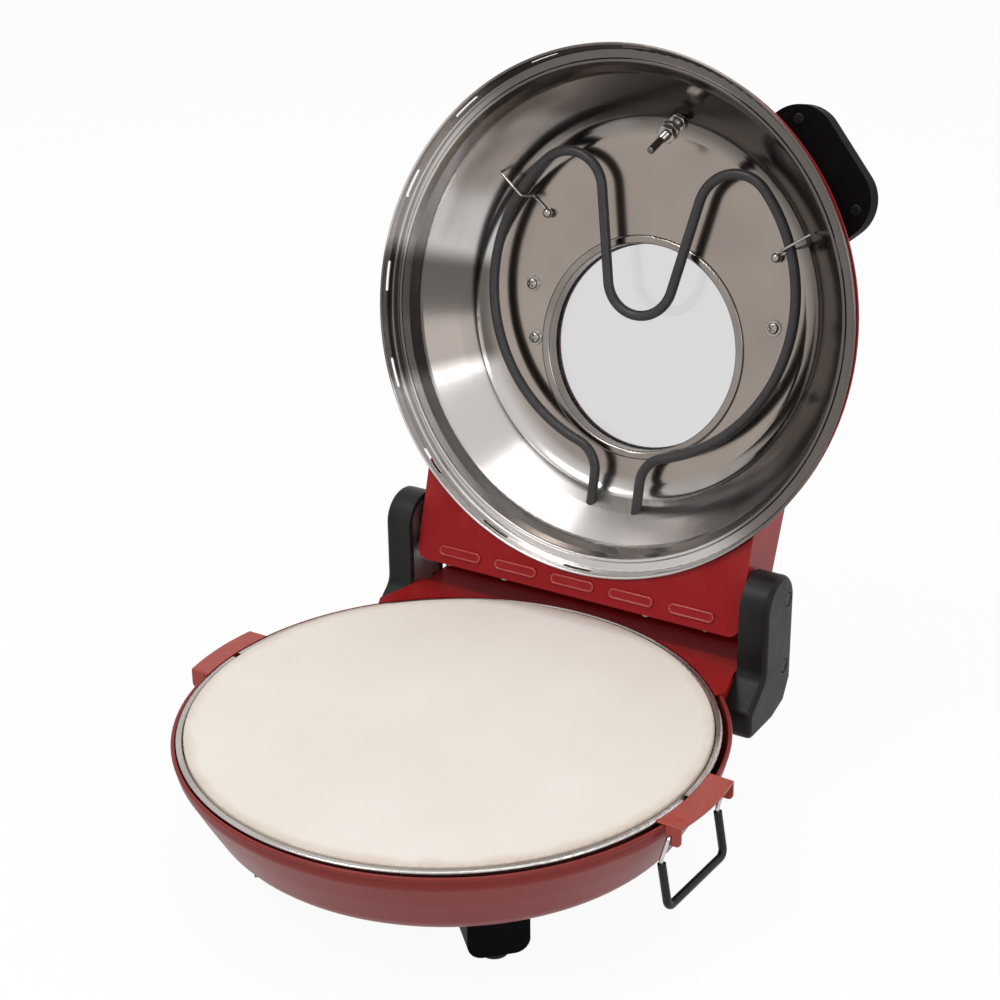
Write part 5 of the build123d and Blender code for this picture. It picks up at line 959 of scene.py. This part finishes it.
@dataclass
class Knob(SubAssembly):
    """Fluted thermostat knob with a white pointer and marks round its skirt."""

    skirt: float = 17.0 * MM
    grip: float = 13.0 * MM
    height: float = 13.0 * MM
    flutes: int = 12
    marks: int = 9
    base: float = 15.27 * MM

    def body_patch(self) -> Patch:
        """Turned knob whose grip radius dips by d (1/2 + cos(n t) / 2)^3 at each flute."""
        profile = rounded(((0.0, 0.0), (17.0, 0.0), (17.0, 4.3), (13.2, 4.5), (12.8, 13.0), (0.0, 12.9)),
                          (0.8, 1.0, 0.6, 1.8)) * MM
        knob = lathe(profile, 240)
        x, y, z = knob.points.T
        turn, reach = np.arctan2(y, x), np.hypot(x, y)
        share = np.clip((z - 4.6 * MM) / (0.6 * MM), 0, 1) * np.clip((reach - 9 * MM) / (3 * MM), 0, 1)
        dip = 1.1 * MM * (0.5 + 0.5 * np.cos(self.flutes * turn)) ** 3 * share
        factor = 1 - dip / np.maximum(reach, 1e-6)
        knob.points[:, :2] *= factor[:, None]
        return knob

    @staticmethod
    def bar(start: float, end: float, half: float, low: float, high: float, angle: float) -> Patch:
        """Small upright-sided bar along a radius."""
        x = np.array((start, end, end, start))
        y = np.array((-half, -half, half, half))
        c, s = math.cos(angle), math.sin(angle)
        ring = np.stack((x * c - y * s, x * s + y * c), -1)
        points = np.concatenate([np.column_stack((ring, np.full(4, z))) for z in (low, high)])
        quads = np.array(((3, 2, 1, 0), (4, 5, 6, 7), (0, 1, 5, 4), (1, 2, 6, 5), (2, 3, 7, 6), (3, 0, 4, 7)))
        return Patch(points, quads)

    def build(self) -> None:
        """Add the knob, its pointer and its marks."""
        outward = Probe(self.finishes).frame() @ frame_matrix(
            np.array((0, 0, -self.base)), np.array((1.0, 0, 0)), np.array((0, 0, -1.0)))
        self.add("knob_fluted", self.body_patch().moved(outward), "handle_black", Body.KNOB, Slot.BLACK,
                 ("thermostat_knob",), 50.0)
        pointer = self.bar(3 * MM, 11 * MM, 0.7 * MM, 12.5 * MM, 12.98 * MM, math.pi / 2)
        span = np.linspace(-225.0, 45.0, self.marks)
        bars = [self.bar(14.4 * MM, (15.9 if k % 2 else 16.1) * MM, 0.35 * MM, 4.0 * MM, 4.48 * MM,
                         math.radians(a)) for k, a in enumerate(span)]
        marks = pointer.joined(*bars).moved(outward)
        self.add("knob_marks", marks, "mark_white", Body.KNOB, Slot.CERAMIC)


@dataclass
class Louvres(SubAssembly):
    """Rounded rims pressed round the five louvres of the hinge box's plate."""

    count: int = 5
    pitch: float = 42.2 * MM
    half_straight: float = 12.25 * MM
    radius: float = 2.75 * MM
    proud: float = 0.7 * MM
    bead: float = 0.75 * MM
    place: float = 171.6 * MM
    level: float = LIP_LEVEL + 1.24 * MM
    slope: float = 0.0608

    def outline(self) -> np.ndarray:
        """Slot outline from a circle: point t is r (cos t, sin t), moved along by the half straight."""
        turn = np.linspace(0, 2 * math.pi, 121)
        shift = np.where(np.cos(turn) >= 0, self.half_straight, -self.half_straight)
        return np.stack((self.radius * np.cos(turn) + shift, self.radius * np.sin(turn),
                         self.proud + 0 * turn), -1)

    def build(self) -> None:
        """Add the five rims."""
        tilt = math.atan(self.slope)
        rim = tube(self.outline(), np.array((0.0, 0.0, 1.0)), self.bead, 12)
        outward = np.array((0.0, -math.sin(tilt), -math.cos(tilt)))
        steps = (np.arange(self.count) - (self.count - 1) / 2) * self.pitch
        frames = [opening_matrix() @ frame_matrix(np.array((x, self.place, self.level)),
                                                  np.array((1.0, 0, 0)), outward) for x in steps]
        # The rims' finish is a brighter copy of the lid's red: painted highlight.
        self.add("louvre_rims", placed(rim, frames), "louvre_red_painted_highlight", Body.LID, Slot.LID, (), 60.0)


@dataclass
class ArmPlugs(SubAssembly):
    """Screw plugs with a chamfered rim and a shallow dish, so that each shows as a ring."""

    face: float = 138.5 * MM
    radius: float = 4.6 * MM
    places: tuple = ((166.5, 84.0), (168.5, 128.7))

    def build(self) -> None:
        """Add the four plugs."""
        r = self.radius
        profile = np.array(((0, -2.0 * MM), (r, -2.0 * MM), (r, -0.9 * MM), (r - 0.7 * MM, -0.15 * MM),
                            (r - 1.2 * MM, -0.05 * MM), (r - 1.9 * MM, -0.35 * MM), (0, -0.45 * MM)))
        plug = lathe(profile, 64)
        frames = [frame_matrix(np.array((side * self.face, y * MM, z * MM)), np.array((0, 1.0, 0)),
                               np.array((side, 0.0, 0.0))) for y, z in self.places for side in (-1.0, 1.0)]
        self.add("arm_plugs_dished", placed(plug, frames), "plug_grey", Body.BASE, Slot.PLUG,
                 ("arm_plugs",), 30.0)


@dataclass
class FootPads(SubAssembly):
    """Rubber pads with two moulded grooves underneath."""

    radius: float = 9.0 * MM
    height: float = 9.0 * MM
    place: float = 109.0 * MM
    bearings: tuple = (-45.0, 45.0, 150.0, -150.0)

    def build(self) -> None:
        """Add the four pads."""
        turn = np.linspace(0, math.pi / 2, 10)
        edge = np.stack((6.0 + 3.0 * np.sin(turn), 3.0 - 3.0 * np.cos(turn)), -1)
        under = ((0.0, 0.6), (1.6, 0.6), (1.9, 0.0), (3.4, 0.0), (3.6, 0.6), (4.4, 0.6), (4.6, 0.0))
        profile = np.concatenate((np.array(under), edge, ((9.0, 8.6), (8.6, 9.0), (0.0, 9.0)))) * MM
        pad = lathe(profile, 72)
        frames = []
        for bearing in self.bearings:
            a = math.radians(bearing)
            spot = np.array((self.place * math.sin(a), -self.place * math.cos(a), 0.0))
            frames.append(frame_matrix(spot, np.array((1.0, 0, 0)), np.array((0, 0, 1.0))))
        self.add("foot_pads_grooved", placed(pad, frames), "foot_rubber", Body.BASE, Slot.RUBBER,
                 ("foot_pads",), 35.0)


# ------------------------------------------------------------------ studio
@dataclass
class PhotoCamera:
    """Camera at the photograph's place, in metres."""

    place: tuple[float, float, float] = (0.59213, -0.89628, 0.70328)
    right: tuple[float, float, float] = (0.85276, 0.52218, -0.01181)
    up: tuple[float, float, float] = (-0.20195, 0.35049, 0.91454)
    back: tuple[float, float, float] = (0.48169, -0.77749, 0.40434)
    lens: float = 75.48

    def build(self) -> None:
        """Add the camera and make it the scene's."""
        data = bpy.data.cameras.new("photo_camera")
        data.lens = self.lens
        data.sensor_width = 36.0
        data.clip_start, data.clip_end = 0.05, 50.0
        camera = bpy.data.objects.new("photo_camera", data)
        bpy.context.scene.collection.objects.link(camera)
        axes = Matrix((self.right, self.up, self.back)).transposed().to_4x4()
        camera.matrix_world = Matrix.Translation(Vector(self.place)) @ axes
        bpy.context.scene.camera = camera


@dataclass
class Studio:
    """White surroundings and soft lamps."""

    ambient: float = 0.52
    floor_size: float = 12.0
    floor_glow: float = 0.94

    def build(self) -> None:
        """Add the world, floor and lamps."""
        self._world()
        self._floor()
        self._lamp("key", (-0.7, -1.2, 2.4), (0.0, 0.05, 0.1), 0.9, 28.0)
        self._lamp("fill", (1.9, -0.9, 1.2), (0.0, 0.0, 0.15), 1.0, 9.0)
        self._lamp("top", (0.1, 0.5, 2.3), (0.0, 0.1, 0.1), 1.4, 13.0)

    def _world(self) -> None:
        """White to the camera, mirrors and glass; a plain level to everything else."""
        world = bpy.data.worlds.new("studio")
        bpy.context.scene.world = world
        world.use_nodes = True
        world.node_tree.nodes.clear()
        tree = NodeTree(world.node_tree)
        rays = tree.add("ShaderNodeLightPath")
        seen = tree.add("ShaderNodeMath", {0: rays.outputs["Is Camera Ray"],
                                           1: rays.outputs["Is Glossy Ray"]}, operation="MAXIMUM")
        clear = tree.add("ShaderNodeMath", {0: seen.outputs[0], 1: rays.outputs["Is Transmission Ray"]},
                         operation="MAXIMUM")
        plain = tree.add("ShaderNodeBackground", {"Color": (1, 1, 1, 1), "Strength": self.ambient})
        white = tree.add("ShaderNodeBackground", {"Color": (1, 1, 1, 1), "Strength": 1.0})
        mix = tree.add("ShaderNodeMixShader", {0: clear.outputs[0], 1: plain.outputs[0],
                                               2: white.outputs[0]})
        out = tree.add("ShaderNodeOutputWorld")
        world.node_tree.links.new(mix.outputs[0], out.inputs[0])

    def _floor(self) -> None:
        """Pale floor that keeps a soft shadow and meets the white surroundings."""
        half = self.floor_size / 2
        corners = np.array(((-half, -half, 0), (half, -half, 0), (half, half, 0), (-half, half, 0)), float)
        material = bpy.data.materials.new("studio_floor")
        material.use_nodes = True
        material.node_tree.nodes.clear()
        tree = NodeTree(material.node_tree)
        rays = tree.add("ShaderNodeLightPath")
        seen = tree.add("ShaderNodeMath", {0: rays.outputs["Is Camera Ray"],
                                           1: rays.outputs["Is Glossy Ray"]}, operation="MAXIMUM")
        share = tree.add("ShaderNodeMath", {0: seen.outputs[0], 1: self.floor_glow}, operation="MULTIPLY")
        diffuse = tree.add("ShaderNodeBsdfDiffuse", {"Color": (0.85, 0.85, 0.85, 1)})
        glow = tree.add("ShaderNodeEmission", {"Color": (1, 1, 1, 1), "Strength": 1.0})
        mix = tree.add("ShaderNodeMixShader", {0: share.outputs[0], 1: diffuse.outputs[0],
                                               2: glow.outputs[0]})
        out = tree.add("ShaderNodeOutputMaterial")
        material.node_tree.links.new(mix.outputs[0], out.inputs[0])
        floor = build_object("studio_floor", Patch(corners, np.array(((0, 1, 2, 3),))), material,
                             recalculate=False)

    @staticmethod
    def _lamp(name: str, place: tuple, aim: tuple, size: float, power: float) -> None:
        """Add a square soft lamp.

        Args:
            name: lamp name.
            place: where it hangs.
            aim: the point it faces.
            size: side in metres.
            power: watts.
        """
        data = bpy.data.lights.new(name, "AREA")
        data.size = size
        data.energy = power
        lamp = bpy.data.objects.new(name, data)
        bpy.context.scene.collection.objects.link(lamp)
        lamp.location = place
        lamp.rotation_euler = (Vector(aim) - Vector(place)).to_track_quat("-Z", "Y").to_euler()


def main() -> None:
    """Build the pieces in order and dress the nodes."""
    logging.basicConfig(level=logging.INFO, format="%(name)s: %(message)s")
    scene = bpy.context.scene
    scene.view_settings.view_transform = "Standard"
    finishes = Finishes(Effects())
    Dressing(finishes).apply(frame["nodes"])
    for part in (CrossScrews, Probe, Knob, Louvres, ArmPlugs, FootPads):
        part(finishes).build()
    Studio().build()
    PhotoCamera().build()


if __name__ == "__main__":
    main()
